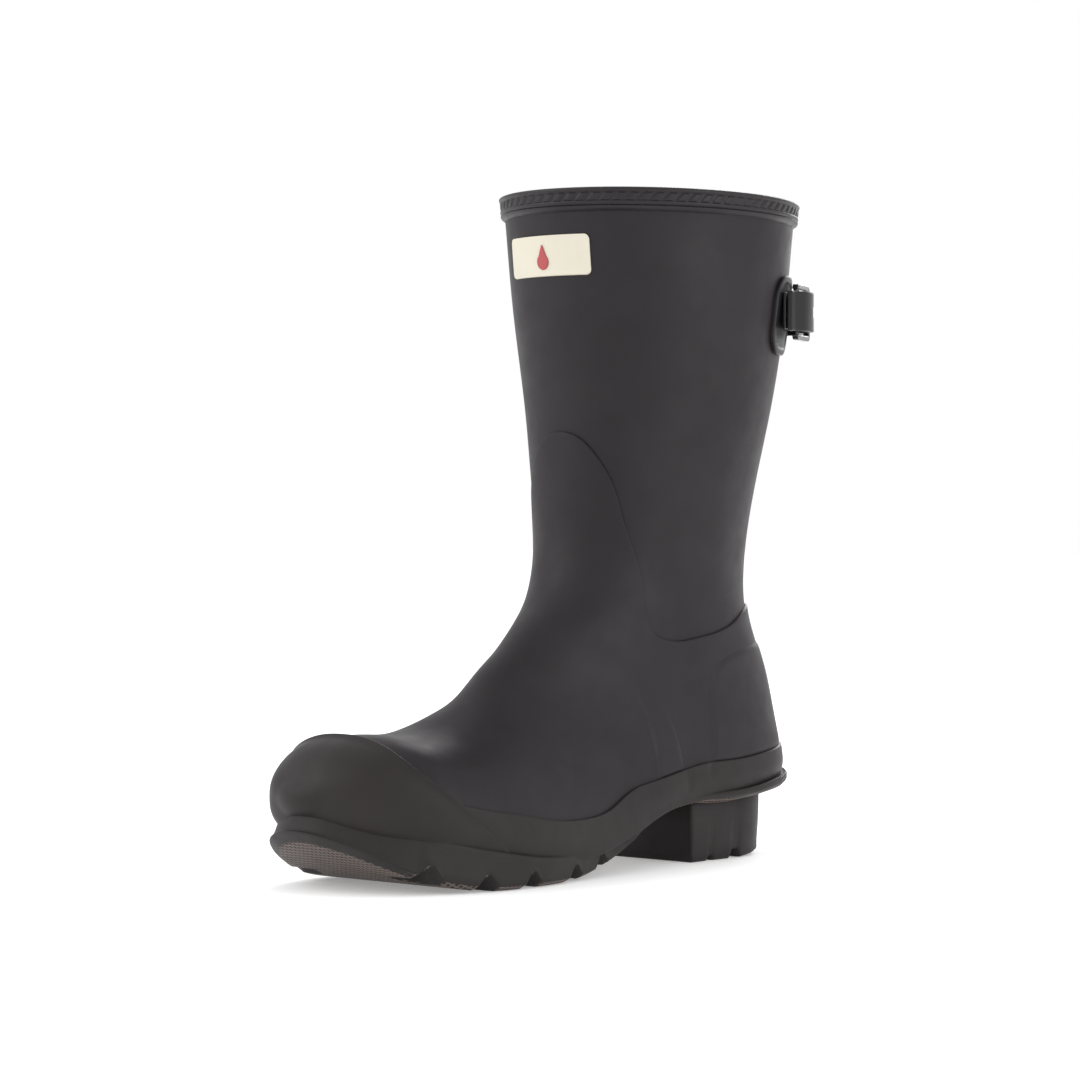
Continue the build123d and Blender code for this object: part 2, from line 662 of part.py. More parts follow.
def make_strap():
    low, high = strap_height - strap_width / 2, strap_height + strap_width / 2
    strap = ribbon(strap_path(), strap_thickness, low, high)
    half = tongue_width / 2 + hole_clearance
    hole = Solid.make_box(frame_reach * HOLE_LENGTH, 14, 2 * half)
    hole = buckle_plane().location * hole.moved(Location((-frame_reach * HOLE_START, -4, -half)))
    strap = strap - hole
    for angle in SPARE_HOLES:
        point, normal = leg_point(angle, 0)
        plane = Plane(origin=point, x_dir=(-normal.Y, normal.X, 0), z_dir=normal)
        strap -= Solid.extrude((plane * Circle(half)).face(), normal * 12)
    return strap - last(patch_wall + bond_gap)


def make_tab():
    """Rubber tab on the lateral patch, folded round the buckle bar, slotted for the tongue."""
    inner = bar_diameter / 2 + running_clearance
    outer = ring_outer - 0.2
    thickness = outer - inner
    ring = Circle(outer) - Circle(inner)
    tail = Polyline((0, -outer), (tab_length, -outer), (tab_length, -outer + thickness),
                    (0, -outer + thickness), close=True)
    profile = ring + make_face(tail) - Circle(inner)
    solid = extrude(profile, amount=tab_width / 2, both=True)
    slot = Box(outer * 2 + 3.0, outer * 3, tongue_width + 0.8)
    return buckle_plane().location * (solid - slot) - last(patch_wall + bond_gap)


def make_frame():
    """Rectangular buckle frame with rounded corners, and holes for the bar."""
    left, right = -frame_reach - frame_bar / 2, frame_bar * 1.1
    length = right - left
    outer = Plane.XZ * RectangleRounded(length, frame_height, 3.0)
    window = Plane.XZ * RectangleRounded(length - 2 * frame_bar, frame_height - 2 * frame_bar, 1.2)
    body = extrude(outer, amount=frame_thickness / 2, both=True)
    body -= extrude(window, amount=frame_thickness, both=True)
    body = body.moved(Location(((left + right) / 2, 0, 0)))
    open_side = Box(12, frame_thickness * 2, frame_height - 2 * frame_bar - 0.02)
    body -= open_side.moved(Location((6 - bar_diameter / 2, 0, 0)))
    body -= Cylinder(bar_diameter / 2, frame_height - frame_bar)
    return buckle_plane().location * body


def make_bar():
    return buckle_plane().location * Cylinder(bar_diameter / 2, frame_height - frame_bar - 0.1)


def make_tongue():
    """Tongue: a ring round the bar and a flat shank that rests on the far bar."""
    ring = Circle(ring_outer) - Circle(bar_diameter / 2 + running_clearance)
    tip = -frame_reach - frame_bar / 2 - 0.8
    rest = frame_thickness / 2 + 0.12
    shank = Polyline((0, ring_outer), (0, ring_outer - tongue_thickness + 0.3),
                     (-5, ring_outer - tongue_thickness), (tip + 3, rest), (tip, rest + 0.1),
                     (tip, rest + 0.9), (tip + 3, rest + tongue_thickness), (-5, ring_outer), close=True)
    profile = ring + make_face(shank) - Circle(bar_diameter / 2 + running_clearance)
    return buckle_plane().location * extrude(profile, amount=tongue_width / 2, both=True)


def main_solids(shape):
    """The shape's solids without slivers left by trimming."""
    solids = shape.solids()
    largest = max(s.volume for s in solids)
    return [s for s in solids if s.volume > largest * 0.02]


def write(name, shape):
    solids = main_solids(shape)
    body = solids[0] if len(solids) == 1 else Compound(solids)
    export_step(body, f"parts/{name}.step")
    return body


def main():
    os.makedirs("parts", exist_ok=True)
    inside = -leg_wall - bond_gap
    lined = inside - lining_wall - bond_gap
    lining_leg, lining_foot = make_lining()
    label_plate, label_motif = make_label()
    patch_lateral, patch_medial = make_patch(patch_angle), make_patch(180 - patch_angle)
    strap = make_strap()
    footbed_low = board_thickness + 2 * bond_gap
    footbed_high = footbed_low + footbed_thickness
    cover_low = footbed_high + bond_gap
    outsole = make_outsole()
    pieces = {
        "leg_upper": make_rubber(),
        "back_gusset": make_gusset(),
        "toe_puff": make_toe_puff(),
        "lining_leg": lining_leg,
        "lining_foot": lining_foot,
        "vamp_overlay": make_overlay(),
        "toe_cap": make_toe_cap(),
        "rand_strip": make_rand(),
        "heel_counter": make_counter(),
        "instep_stay_lateral": make_stay(0, 90),
        "instep_stay_medial": make_stay(-90, 0),
        "insole_board": floor_layer(inside, bond_gap, board_thickness + bond_gap),
        "footbed": floor_layer(lined, footbed_low, footbed_high),
        "footbed_cover": floor_layer(lined, cover_low, cover_low + cover_thickness),
        "outsole": outsole,
        "arch_shank": shank_block(0),
        "forefoot_filler": filler_block(0),
        "heel_block": make_heel(),
        "heel_filler": heel_filler_block(0),
        "top_band": make_band(),
        "label_plate": label_plate,
        "label_motif": label_motif,
        "strap_patch_lateral": patch_lateral,
        "strap_patch_medial": patch_medial,
        "strap": strap,
        "buckle_tab": make_tab(),
        "buckle_frame": make_frame(),
        "buckle_bar": make_bar(),
        "buckle_tongue": make_tongue(),
    }
    written = {name: write(name, shape) for name, shape in pieces.items()}
    bar = buckle_plane().origin
    print("buckle bar at", tuple(round(v, 3) for v in bar))
    whole = Compound(list(written.values())).bounding_box()
    print("box", whole.min, whole.max)


main()
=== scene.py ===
import math

import bmesh
import bpy
import numpy as np
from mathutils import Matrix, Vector


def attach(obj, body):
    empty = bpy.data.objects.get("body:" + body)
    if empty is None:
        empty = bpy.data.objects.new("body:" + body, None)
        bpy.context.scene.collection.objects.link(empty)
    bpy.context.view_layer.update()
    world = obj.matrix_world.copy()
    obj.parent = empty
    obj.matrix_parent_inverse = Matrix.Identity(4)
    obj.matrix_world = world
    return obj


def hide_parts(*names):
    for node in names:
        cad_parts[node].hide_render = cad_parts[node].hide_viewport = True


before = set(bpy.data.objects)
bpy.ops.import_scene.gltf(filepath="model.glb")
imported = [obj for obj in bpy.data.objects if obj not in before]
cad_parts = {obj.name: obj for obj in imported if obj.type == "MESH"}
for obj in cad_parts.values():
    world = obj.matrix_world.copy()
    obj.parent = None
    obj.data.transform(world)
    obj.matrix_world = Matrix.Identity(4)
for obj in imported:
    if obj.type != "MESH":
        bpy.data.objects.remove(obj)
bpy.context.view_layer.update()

# Left rubber rain boot. Geometry is worked out in millimetres and written in metres. "u" is the
# distance forward from the back of the heel: y = HEEL_Y - u. +X is the lateral side.
MM = 0.001
HEEL_Y = 136.45

# Offsets of each layer from the rubber leg's outer surface.
LEG_IN = -2.2
GUSSET_OUT = -0.8
OVERLAY_OUT = 1.2
COUNTER_OUT = 1.9
RAND_OUT = 2.6
TOE_CAP_OUT = 2.8
LABEL_OUT = 0.9
PATCH_OUT = 2.0

# Stations of the rubber surface, rim to toe: front point (u, z), back point (u, z), lateral and
# medial half widths, sideways shift, place of the widest line, roundness of the front and back half.
STATIONS = [
    (137.0, 300.0, -1.6, 297.0, 62.4, 62.4, 0.0, 0.50, 2.0, 2.0),
    (136.0, 290.0, -0.5, 287.0, 61.3, 61.3, 0.0, 0.50, 2.0, 2.0),
    (131.5, 243.0, 4.5, 241.0, 57.5, 57.5, 0.0, 0.50, 2.0, 2.0),
    (127.0, 196.0, 11.0, 195.0, 50.5, 50.5, 0.0, 0.50, 2.0, 2.0),
    (126.5, 160.0, 18.5, 156.0, 43.6, 43.6, 0.0, 0.50, 2.0, 2.0),
    (127.8, 134.0, 21.5, 125.0, 39.4, 39.4, 0.0, 0.48, 2.0, 2.0),
    (134.6, 117.5, 18.5, 103.0, 37.8, 37.8, 0.0, 0.45, 2.0, 2.1),
    (143.0, 108.5, 9.0, 82.0, 37.3, 37.3, 0.0, 0.42, 2.0, 2.2),
    (152.0, 101.0, 2.0, 58.0, 37.0, 37.0, 0.0, 0.38, 2.0, 2.3),
    (160.0, 94.5, 0.8, 40.0, 37.2, 37.2, 0.0, 0.34, 2.0, 2.6),
    (168.0, 89.0, 4.5, 24.0, 37.5, 37.0, 0.0, 0.32, 2.0, 2.8),
    (174.0, 84.7, 22.0, 12.0, 37.5, 35.5, 0.0, 0.32, 2.0, 3.0),
    (181.0, 79.3, 55.0, 6.0, 37.8, 34.0, 0.5, 0.32, 2.0, 3.2),
    (188.5, 74.0, 95.0, 3.0, 39.0, 34.0, 1.0, 0.33, 2.0, 3.4),
    (197.0, 69.3, 135.0, 2.0, 42.0, 38.0, 0.5, 0.34, 2.0, 3.6),
    (206.0, 64.9, 168.0, 2.0, 45.0, 43.0, -1.0, 0.35, 2.0, 3.8),
    (217.0, 61.6, 196.0, 4.0, 45.5, 44.5, -2.0, 0.36, 2.1, 3.8),
    (232.0, 60.8, 223.0, 9.0, 43.0, 42.5, -3.0, 0.38, 2.2, 3.8),
    (246.5, 60.8, 243.5, 17.0, 38.0, 37.5, -5.0, 0.40, 2.3, 3.6),
    (258.5, 56.6, 257.5, 22.0, 30.0, 29.0, -7.0, 0.42, 2.3, 3.2),
    (266.5, 49.5, 266.5, 28.0, 20.0, 20.5, -8.0, 0.45, 2.3, 2.8),
    (270.5, 43.0, 270.5, 33.5, 10.0, 11.0, -9.0, 0.50, 2.2, 2.4),
]
TOE_ROUND_FROM = 240.0
TOE_ROUND = 30.5

# Side-view lines of the boot, as (u, z) points.
SOLE_TOP = [(-12, 39), (10, 36.5), (27, 34.5), (41, 32.5), (55, 31.3), (78, 30.5), (92, 29.5), (104, 27.5),
            (118, 23.5), (132, 19.5), (146, 15.5), (159, 13), (173, 12), (185, 12), (196, 13), (205, 14.5),
            (225, 18.5), (245, 24), (262, 30), (290, 38)]
SOLE_UNDER = [(-12, 30), (10, 28.3), (33, 26.8), (50, 25.4), (66, 25.2), (80, 25.4), (90, 24.3), (108, 19),
              (130, 9), (150, 2.6), (165, 0.5), (178, 0), (196, 0), (215, 0), (228, 1.4), (245, 5.5),
              (263, 14), (290, 31)]
RAND_TOP = [(-12, 53), (16, 49), (37, 46.5), (58, 44.5), (75, 44), (94, 41), (112, 38), (124, 36), (135, 32),
            (145, 28), (158, 26), (176, 26), (192, 28), (203, 30), (216, 32), (233, 36), (245, 40)]
OVERLAY_TOP = [(-12, 116), (17, 113), (43, 109), (58, 103), (69, 100), (81, 98), (92, 97), (98, 98),
               (104, 101), (107, 108), (108, 120), (111, 135), (115, 149), (118, 162), (121, 172),
               (124, 181), (127, 188), (135, 196)]
TOE_CAP_REAR = [(251, 75), (251, 60), (248, 51), (239, 42), (226, 31), (211, 19), (196, 2)]
COUNTER_EDGE = [(-12, 96), (20, 96), (45, 94), (59, 91), (67, 87), (71, 82), (71.5, 60), (73, 40)]
STAY_REAR = [(106, 86), (100, 76), (96, 67), (92, 56), (88, 34)]
STAY_FRONT = [(122, 86), (116, 75), (112, 66), (108, 52), (110, 32)]
SOLE_OUTLINE = [(0, -4.6), (22, 0.5), (35.5, 20), (39.5, 45), (38.5, 75), (38, 110), (41, 145), (47, 183),
                (46.5, 212), (37.5, 241), (19, 267), (-8, 278), (-30, 270), (-44, 247), (-49, 218),
                (-47, 186), (-40, 152), (-35, 118), (-36, 80), (-39, 45), (-35, 20), (-22, 0.5)]
LUG_PLACES = [244, 220, 196, 167, 147]


# ---- curves and the boot's surface

def natural_spline(knots, values):
    """Second derivatives of the natural cubic spline through values at the knots."""
    n = len(knots)
    h = np.diff(knots)
    matrix = np.eye(n)
    right = np.zeros((n,) + values.shape[1:])
    for i in range(1, n - 1):
        matrix[i, i - 1:i + 2] = h[i - 1], 2 * (h[i - 1] + h[i]), h[i]
        right[i] = 6 * ((values[i + 1] - values[i]) / h[i] - (values[i] - values[i - 1]) / h[i - 1])
    return np.linalg.solve(matrix, right.reshape(n, -1)).reshape(right.shape)


def spline_at(knots, values, bends, s):
    k = np.clip(np.searchsorted(knots, s, side="right") - 1, 0, len(knots) - 2)
    h = (knots[k + 1] - knots[k])[:, None]
    a = (knots[k + 1] - s)[:, None] / h
    b = 1 - a
    low, high = values[k], values[k + 1]
    return a * low + b * high + ((a ** 3 - a) * bends[k] + (b ** 3 - b) * bends[k + 1]) * h * h / 6


def smooth_line(points, step=1.5):
    """Fine polyline of the spline through 2-D points."""
    points = np.array(points, float)
    knots = np.concatenate([[0], np.cumsum(np.linalg.norm(np.diff(points, axis=0), axis=1))])
    bends = natural_spline(knots, points)
    s = np.linspace(0, knots[-1], int(knots[-1] / step) + 2)
    return spline_at(knots, points, bends, s)


def smooth_ring(points, count):
    """Evenly spaced points on a closed smooth line through 2-D points."""
    lap = len(points)
    line = smooth_line(points * 3, 0.4)
    reach = np.concatenate([[0], np.cumsum(np.linalg.norm(np.diff(line, axis=0), axis=1))])
    raw = np.array(points * 3, float)
    knots = np.concatenate([[0], np.cumsum(np.linalg.norm(np.diff(raw, axis=0), axis=1))])
    start, end = (reach[-1] * knots[k] / knots[-1] for k in (lap, 2 * lap))
    want = np.linspace(start, end, count, endpoint=False)
    return np.stack([np.interp(want, reach, line[:, i]) for i in (0, 1)], axis=1)


def side_distance(line, u, z):
    """Signed distance in the side view, positive to the left of the line's direction."""
    best = np.full(u.shape, 1e9)
    side = np.ones(u.shape)
    for (u0, z0), (u1, z1) in zip(line[:-1], line[1:]):
        du, dz = u1 - u0, z1 - z0
        t = np.clip(((u - u0) * du + (z - z0) * dz) / (du * du + dz * dz), 0, 1)
        gap = np.hypot(u - u0 - t * du, z - z0 - t * dz)
        nearer = gap < best - 1e-9
        best = np.where(nearer, gap, best)
        side = np.where(nearer, np.sign(du * (z - z0) - dz * (u - u0)), side)
    return best * np.where(side == 0, 1, side)


COLUMNS = 360
FINE = 1440                # steps round a section before its points are spaced evenly


def section(row):
    """Points of one section at offset 0 and how each moves per millimetre of offset."""
    front_u, front_z, back_u, back_z, lateral, medial, shift, wide, front_n, back_n = row
    front = np.array([0, HEEL_Y - front_u, front_z])
    back = np.array([0, HEEL_Y - back_u, back_z])
    length = np.linalg.norm(front - back)
    along = (front - back) / length
    advance = np.cross([1, 0, 0], along)
    share = 1.0 if row is STATIONS[0] else min(max((front_u - TOE_ROUND_FROM) / TOE_ROUND, 0.0), 1.0)
    fine = np.linspace(0, 2 * np.pi, FINE + 1)
    c, s = np.cos(fine), np.sin(fine)
    c[np.abs(c) < 1e-12], s[np.abs(s) < 1e-12] = 0, 0
    ahead = c > 0
    power = np.where(ahead, 2 / front_n, 2 / back_n)
    across = np.sign(s) * np.abs(s) ** power
    lengthwise = np.sign(c) * np.abs(c) ** power
    reach = np.where(ahead, 1 - wide, wide) * length
    base = back + along * wide * length + np.outer(lengthwise * reach, along)
    base[:, 0] += shift + across * np.where(s > 0, lateral, medial)
    grow = np.outer(lengthwise, along) + advance * share
    grow[:, 0] += across
    places = []
    for first, last in ((0, FINE // 2), (FINE // 2, FINE)):
        part = base[first:last + 1]
        gone = np.concatenate([[0], np.cumsum(np.linalg.norm(np.diff(part, axis=0), axis=1))])
        want = np.linspace(0, gone[-1], COLUMNS // 2, endpoint=False)
        places.append(np.interp(want, gone, np.arange(first, last + 1)))
    places = np.concatenate(places)
    both = np.concatenate([base, grow], axis=1)
    k = np.minimum(places.astype(int), FINE - 1)
    t = (places - k)[:, None]
    return both[k] * (1 - t) + both[k + 1] * t


rows = np.array([section(row) for row in STATIONS])
steps = np.linalg.norm(np.diff(rows[:, :, :3], axis=0), axis=2).mean(axis=1)
row_knots = np.concatenate([[0], np.cumsum(steps)])
row_bends = natural_spline(row_knots, rows)
SURFACE_END = row_knots[-1]
TIP_LENGTH = 12.0          # dome that closes the toe tip, in front of the last station
TIP_BULGE = 3.2
TIP_END = SURFACE_END + TIP_LENGTH


def surface(s, c, offset):
    """Points and outward directions of the boot surface at distance s from the rim and column c."""
    s, c = np.asarray(s, float), np.mod(np.asarray(c, float), COLUMNS)
    past = np.clip((s - SURFACE_END) / TIP_LENGTH, 0, 1)[:, None]
    s = np.minimum(s, SURFACE_END)
    k = np.clip(np.searchsorted(row_knots, s, side="right") - 1, 0, len(row_knots) - 2)
    left = np.floor(c).astype(int) % COLUMNS
    right = (left + 1) % COLUMNS
    t = (c - np.floor(c))[:, None]
    h = (row_knots[k + 1] - row_knots[k])[:, None]
    a = (row_knots[k + 1] - s)[:, None] / h
    b = 1 - a
    value = 0
    for column, weight in ((left, 1 - t), (right, t)):
        bend = (a ** 3 - a) * row_bends[k, column] + (b ** 3 - b) * row_bends[k + 1, column]
        value = value + weight * (a * rows[k, column] + b * rows[k + 1, column] + bend * h * h / 6)
    centre = rows[-1, :, :3].mean(axis=0)
    ahead = np.array([0.0, -1.0, 0.0])
    closing = past > 0
    base = np.where(closing, centre + (value[:, :3] - centre) * (1 - past)
                    + ahead * TIP_BULGE * (1 - (1 - past) ** 2), value[:, :3])
    grow = np.where(closing, value[:, 3:] * (1 - past) + ahead * past, value[:, 3:])
    return base + grow * np.asarray(offset, float).reshape(-1, 1), grow


def u_of(points):
    return HEEL_Y - points[:, 1]


# ---- mesh building

SHARP_ANGLE = 50           # degrees between faces


def new_piece(name, points, faces, node, body, slot, material):
    """Object from points in millimetres, standing for a CAD node."""
    mesh = bpy.data.meshes.new(name)
    mesh.from_pydata([tuple(p) for p in np.asarray(points) * MM], [], [tuple(f) for f in faces])
    shape = bmesh.new()
    shape.from_mesh(mesh)
    bmesh.ops.remove_doubles(shape, verts=shape.verts, dist=2e-6)
    bmesh.ops.dissolve_degenerate(shape, dist=1e-6, edges=shape.edges)
    bmesh.ops.recalc_face_normals(shape, faces=shape.faces)
    shape.to_mesh(mesh)
    shape.free()
    mesh.shade_smooth()
    mesh.set_sharp_from_angle(angle=math.radians(SHARP_ANGLE))
    piece = bpy.data.objects.new(name, mesh)
    bpy.context.scene.collection.objects.link(piece)
    return dress(piece, node, body, slot, material)


def dress(piece, node, body, slot, material):
    piece.data.materials.clear()
    piece.data.materials.append(material)
    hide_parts(node)
    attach(piece, body)
    return piece


def clip_grid(s, c, field):
    """Grid parameters and faces on the positive side of a field; wall edges lie on its zero line."""
    value = field.ravel()
    keep = value > 0
    params = [np.stack([s.ravel(), c.ravel()], axis=1)]
    count = value.size
    cuts, extra = {}, []

    def cut(a, b):
        key = (a, b) if a < b else (b, a)
        if key not in cuts:
            t = value[key[0]] / (value[key[0]] - value[key[1]])
            extra.append(params[0][key[0]] * (1 - t) + params[0][key[1]] * t)
            cuts[key] = count + len(extra) - 1
        return cuts[key]

    high, wide = s.shape
    faces = []
    for i in range(high - 1):
        for j in range(wide - 1):
            quad = (i * wide + j, (i + 1) * wide + j, (i + 1) * wide + j + 1, i * wide + j + 1)
            inside = [keep[q] for q in quad]
            if all(inside):
                faces.append(quad)
            elif any(inside):
                ring = []
                for a, b in zip(quad, quad[1:] + quad[:1]):
                    if keep[a]:
                        ring.append(a)
                    if keep[a] != keep[b]:
                        ring.append(cut(a, b))
                faces.append(tuple(ring))
    used = sorted({v for face in faces for v in face})
    renumber = {v: k for k, v in enumerate(used)}
    if extra:
        params.append(np.array(extra))
    return np.concatenate(params)[used], [tuple(renumber[v] for v in face) for face in faces]


def edge_loops(faces):
    """Directed boundary edges of a face list, with the face on the left."""
    directed = {(a, b) for face in faces for a, b in zip(face, face[1:] + face[:1])}
    return [(a, b) for a, b in directed if (b, a) not in directed]


def weld_seam(params, faces):
    """Joins the first and last column of a grid that goes all the way round."""
    key = {}
    target = []
    for k, (s, c) in enumerate(params):
        place = (round(s, 5), round(c % COLUMNS, 5) % COLUMNS)
        target.append(key.setdefault(place, k))
    return [tuple(target[v] for v in face) for face in faces]


def panel(field, inner, outer, s_range, c_range, step, edge=0.0, soft=False):
    """Closed skin between two offsets where field(points) is positive, with a rounded edge.

    outer is a number or a function of the points. A soft panel rises from nothing at its border."""
    s_count = max(int((s_range[1] - s_range[0]) / step), 4)
    c_count = max(int((c_range[1] - c_range[0]) / step), 6)
    s, c = np.meshgrid(np.linspace(*s_range, s_count), np.linspace(*c_range, c_count), indexing="ij")
    flat_outer = outer if np.isscalar(outer) else 0.0
    spots, _ = surface(s.ravel(), c.ravel(), flat_outer)
    shrink = 0.0 if soft else edge
    params, faces = clip_grid(s, c, (field(spots) - shrink).reshape(s.shape))
    if c_range[1] - c_range[0] >= COLUMNS:
        faces = weld_seam(params, faces)
    base, _ = surface(params[:, 0], params[:, 1], flat_outer)
    level = np.full(len(base), float(outer)) if np.isscalar(outer) else outer(base)
    top, out = surface(params[:, 0], params[:, 1], level)
    under, _ = surface(params[:, 0], params[:, 1], inner)
    points = [top]
    all_faces = [face[::-1] for face in faces]
    border = edge_loops(all_faces)
    rim = sorted({v for pair in border for v in pair})
    place = {v: k for k, v in enumerate(rim)}
    total = len(top)
    if soft:
        under = under.copy()
        points.append(under)
        shift = total
        bottom = {v: v + shift for v in range(total)}
        for v in rim:
            bottom[v] = v
        all_faces += [tuple(bottom[v] for v in face) for face in faces]
        return np.concatenate(points), all_faces
    normal = out[rim] / np.linalg.norm(out[rim], axis=1)[:, None]
    grade = np.zeros((len(rim), 3))
    for axis in range(3):
        nudge = np.zeros(3)
        nudge[axis] = 0.2
        grade[:, axis] = field(top[rim] + nudge) - field(top[rim] - nudge)
    grade -= normal * (grade * normal).sum(axis=1)[:, None]
    away = -grade / np.maximum(np.linalg.norm(grade, axis=1), 1e-9)[:, None]
    wall = (level[rim] - inner)[:, None]
    radius = np.minimum(edge, wall)
    previous = {v: v for v in rim}
    for turn in (22.5, 45.0, 67.5, 90.0, None):
        if turn is None:
            ring = top[rim] + away * radius - normal * wall
        else:
            angle = math.radians(turn)
            ring = top[rim] + away * radius * math.sin(angle) - normal * radius * (1 - math.cos(angle))
        start = sum(len(p) for p in points)
        points.append(ring)
        current = {v: start + place[v] for v in rim}
        all_faces += [(previous[b], previous[a], current[a], current[b]) for a, b in border]
        previous = current
    start = sum(len(p) for p in points)
    points.append(under)
    all_faces += [tuple(start + v for v in face) for face in faces]
    all_faces += [(previous[b], previous[a], start + a, start + b) for a, b in border]
    return np.concatenate(points), all_faces


def moulded_copy(node, name, voxel, rounds, body, slot, material):
    """Rounded copy of a CAD node's mesh, for a small moulded piece."""
    piece = bpy.data.objects.new(name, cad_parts[node].data.copy())
    bpy.context.scene.collection.objects.link(piece)
    remesh = piece.modifiers.new("remesh", "REMESH")
    remesh.mode = "VOXEL"
    remesh.voxel_size = voxel * MM
    rounding = piece.modifiers.new("rounding", "SMOOTH")
    rounding.factor = 0.5
    rounding.iterations = rounds
    graph = bpy.context.evaluated_depsgraph_get()
    mesh = bpy.data.meshes.new_from_object(piece.evaluated_get(graph))
    piece.modifiers.clear()
    piece.data = mesh
    mesh.shade_smooth()
    return dress(piece, node, body, slot, material)


# ---- materials

def link(tree, source, target):
    tree.links.new(source, target)


def rubber(name, colour, rough, grain=0.06, shade=0.25, wear=0.0, scale=1.0, lattice=False, coat=0.0,
           metal=0.0, specular=0.5):
    """Moulded surface: colour drift, uneven gloss, fine grain and paler worn edges."""
    material = bpy.data.materials.new(name)
    material.use_nodes = True
    tree = material.node_tree
    nodes = tree.nodes
    shader = nodes["Principled BSDF"]
    shader.inputs["Specular IOR Level"].default_value = specular
    shader.inputs["Metallic"].default_value = metal
    shader.inputs["Coat Weight"].default_value = coat
    shader.inputs["Coat Roughness"].default_value = 0.25
    place = nodes.new("ShaderNodeTexCoord")

    def noise(size, detail=4.0):
        node = nodes.new("ShaderNodeTexNoise")
        node.inputs["Scale"].default_value = size * scale
        node.inputs["Detail"].default_value = detail
        link(tree, place.outputs["Object"], node.inputs["Vector"])
        return node.outputs["Fac"]

    def ramp(source, low, high, first, second):
        node = nodes.new("ShaderNodeMapRange")
        node.inputs["From Min"].default_value = low
        node.inputs["From Max"].default_value = high
        node.inputs["To Min"].default_value = first
        node.inputs["To Max"].default_value = second
        link(tree, source, node.inputs["Value"])
        return node.outputs["Result"]

    def mix(factor, first, second):
        node = nodes.new("ShaderNodeMix")
        node.data_type = "RGBA"
        link(tree, factor, node.inputs[0])
        for value, socket in ((first, node.inputs[6]), (second, node.inputs[7])):
            if isinstance(value, tuple):
                socket.default_value = (*value, 1)
            else:
                link(tree, value, socket)
        return node.outputs[2]

    dark = tuple(v * (1 - shade) for v in colour)
    pale = tuple(v * (1 + shade) for v in colour)
    base = mix(ramp(noise(28.0), 0.35, 0.65, 0, 1), dark, pale)
    if wear:
        edge = nodes.new("ShaderNodeNewGeometry").outputs["Pointiness"]
        worn = tuple(min(v * 2.0 + 0.01, 1) for v in colour)
        base = mix(ramp(edge, 0.52, 0.62, 0, wear), base, worn)
    height = noise(2600.0, 3.0)
    if lattice:
        # the tread lattice's pale lines are painted highlights on the tread's ridges
        height, base = tread_lattice_painted_highlights(tree, place, base, height, mix, ramp)
    link(tree, base, shader.inputs["Base Color"])
    link(tree, ramp(noise(90.0, 6.0), 0.3, 0.7, rough - 0.05, rough + 0.06), shader.inputs["Roughness"])
    bump = nodes.new("ShaderNodeBump")
    bump.inputs["Strength"].default_value = grain if not lattice else 0.35
    bump.inputs["Distance"].default_value = 0.0004
    link(tree, height, bump.inputs["Height"])
    link(tree, bump.outputs["Normal"], shader.inputs["Normal"])
    return material


def tread_lattice_painted_highlights(tree, place, base, height, mix, ramp):
    """Diamond lattice on faces that look down: tan lines painted as highlights along the tread's ridges, on
    a darker brown ground.
    """
    nodes = tree.nodes
    split = nodes.new("ShaderNodeSeparateXYZ")
    link(tree, place.outputs["Object"], split.inputs["Vector"])
    lines = []
    for axis in ("X", "Y"):
        wave = nodes.new("ShaderNodeMath")
        wave.operation = "PINGPONG"
        wave.inputs[1].default_value = 1.2 * MM
        link(tree, split.outputs[axis], wave.inputs[0])
        lines.append(ramp(wave.outputs[0], 0.25 * MM, 0.5 * MM, 1, 0))
    either = nodes.new("ShaderNodeMath")
    either.operation = "MAXIMUM"
    link(tree, lines[0], either.inputs[0])
    link(tree, lines[1], either.inputs[1])
    face = nodes.new("ShaderNodeSeparateXYZ")
    link(tree, nodes.new("ShaderNodeNewGeometry").outputs["True Normal"], face.inputs["Vector"])
    down = ramp(face.outputs["Z"], -0.75, -0.85, 0, 1)
    where = nodes.new("ShaderNodeMath")
    where.operation = "MULTIPLY"
    link(tree, either.outputs[0], where.inputs[0])
    link(tree, down, where.inputs[1])
    # ground painted darker for contrast, then pale lines painted as highlights on the tread's ridges
    darkened_ground = mix(down, base, (0.012, 0.009, 0.008))
    both = mix(where.outputs[0], darkened_ground, (0.15, 0.115, 0.10))
    total = nodes.new("ShaderNodeMath")
    total.operation = "ADD"
    link(tree, height, total.inputs[0])
    link(tree, where.outputs[0], total.inputs[1])
    return total.outputs[0], both


UPPER = rubber("upper_rubber_look", (0.0145, 0.0112, 0.0138), 0.50, shade=0.12, specular=0.24)
GUSSET = rubber("gusset_rubber_look", (0.0145, 0.0115, 0.0138), 0.52, specular=0.24)
RAND = rubber("rand_rubber_look", (0.0158, 0.0122, 0.0126), 0.50, shade=0.15, specular=0.24, wear=0.15)
# sole: its tread lattice carries painted highlights on the ridges
SOLE = rubber("sole_rubber_painted_tread_highlights_look", (0.0150, 0.0118, 0.0120), 0.52, wear=0.2, lattice=True, specular=0.24)
HEEL = rubber("heel_rubber_look", (0.0135, 0.0105, 0.0107), 0.52, wear=0.2, specular=0.24)
BAND = rubber("band_rubber_look", (0.0140, 0.0115, 0.0135), 0.42, wear=0.2, specular=0.28)
TRIM = rubber("trim_rubber_look", (0.0085, 0.0075, 0.0085), 0.38, wear=0.15, specular=0.3)
METAL = rubber("buckle_metal_look", (0.035, 0.034, 0.037), 0.24, grain=0.01, metal=0.8, coat=0.3, shade=0.1)
LABEL = rubber("label_plastic_look", (0.60, 0.56, 0.46), 0.42, grain=0.03, shade=0.03)
MOTIF = rubber("motif_plastic_look", (0.36, 0.05, 0.05), 0.40, grain=0.03, shade=0.08)
BOARD = rubber("board_look", (0.42, 0.33, 0.24), 0.85, grain=0.2, shade=0.15)
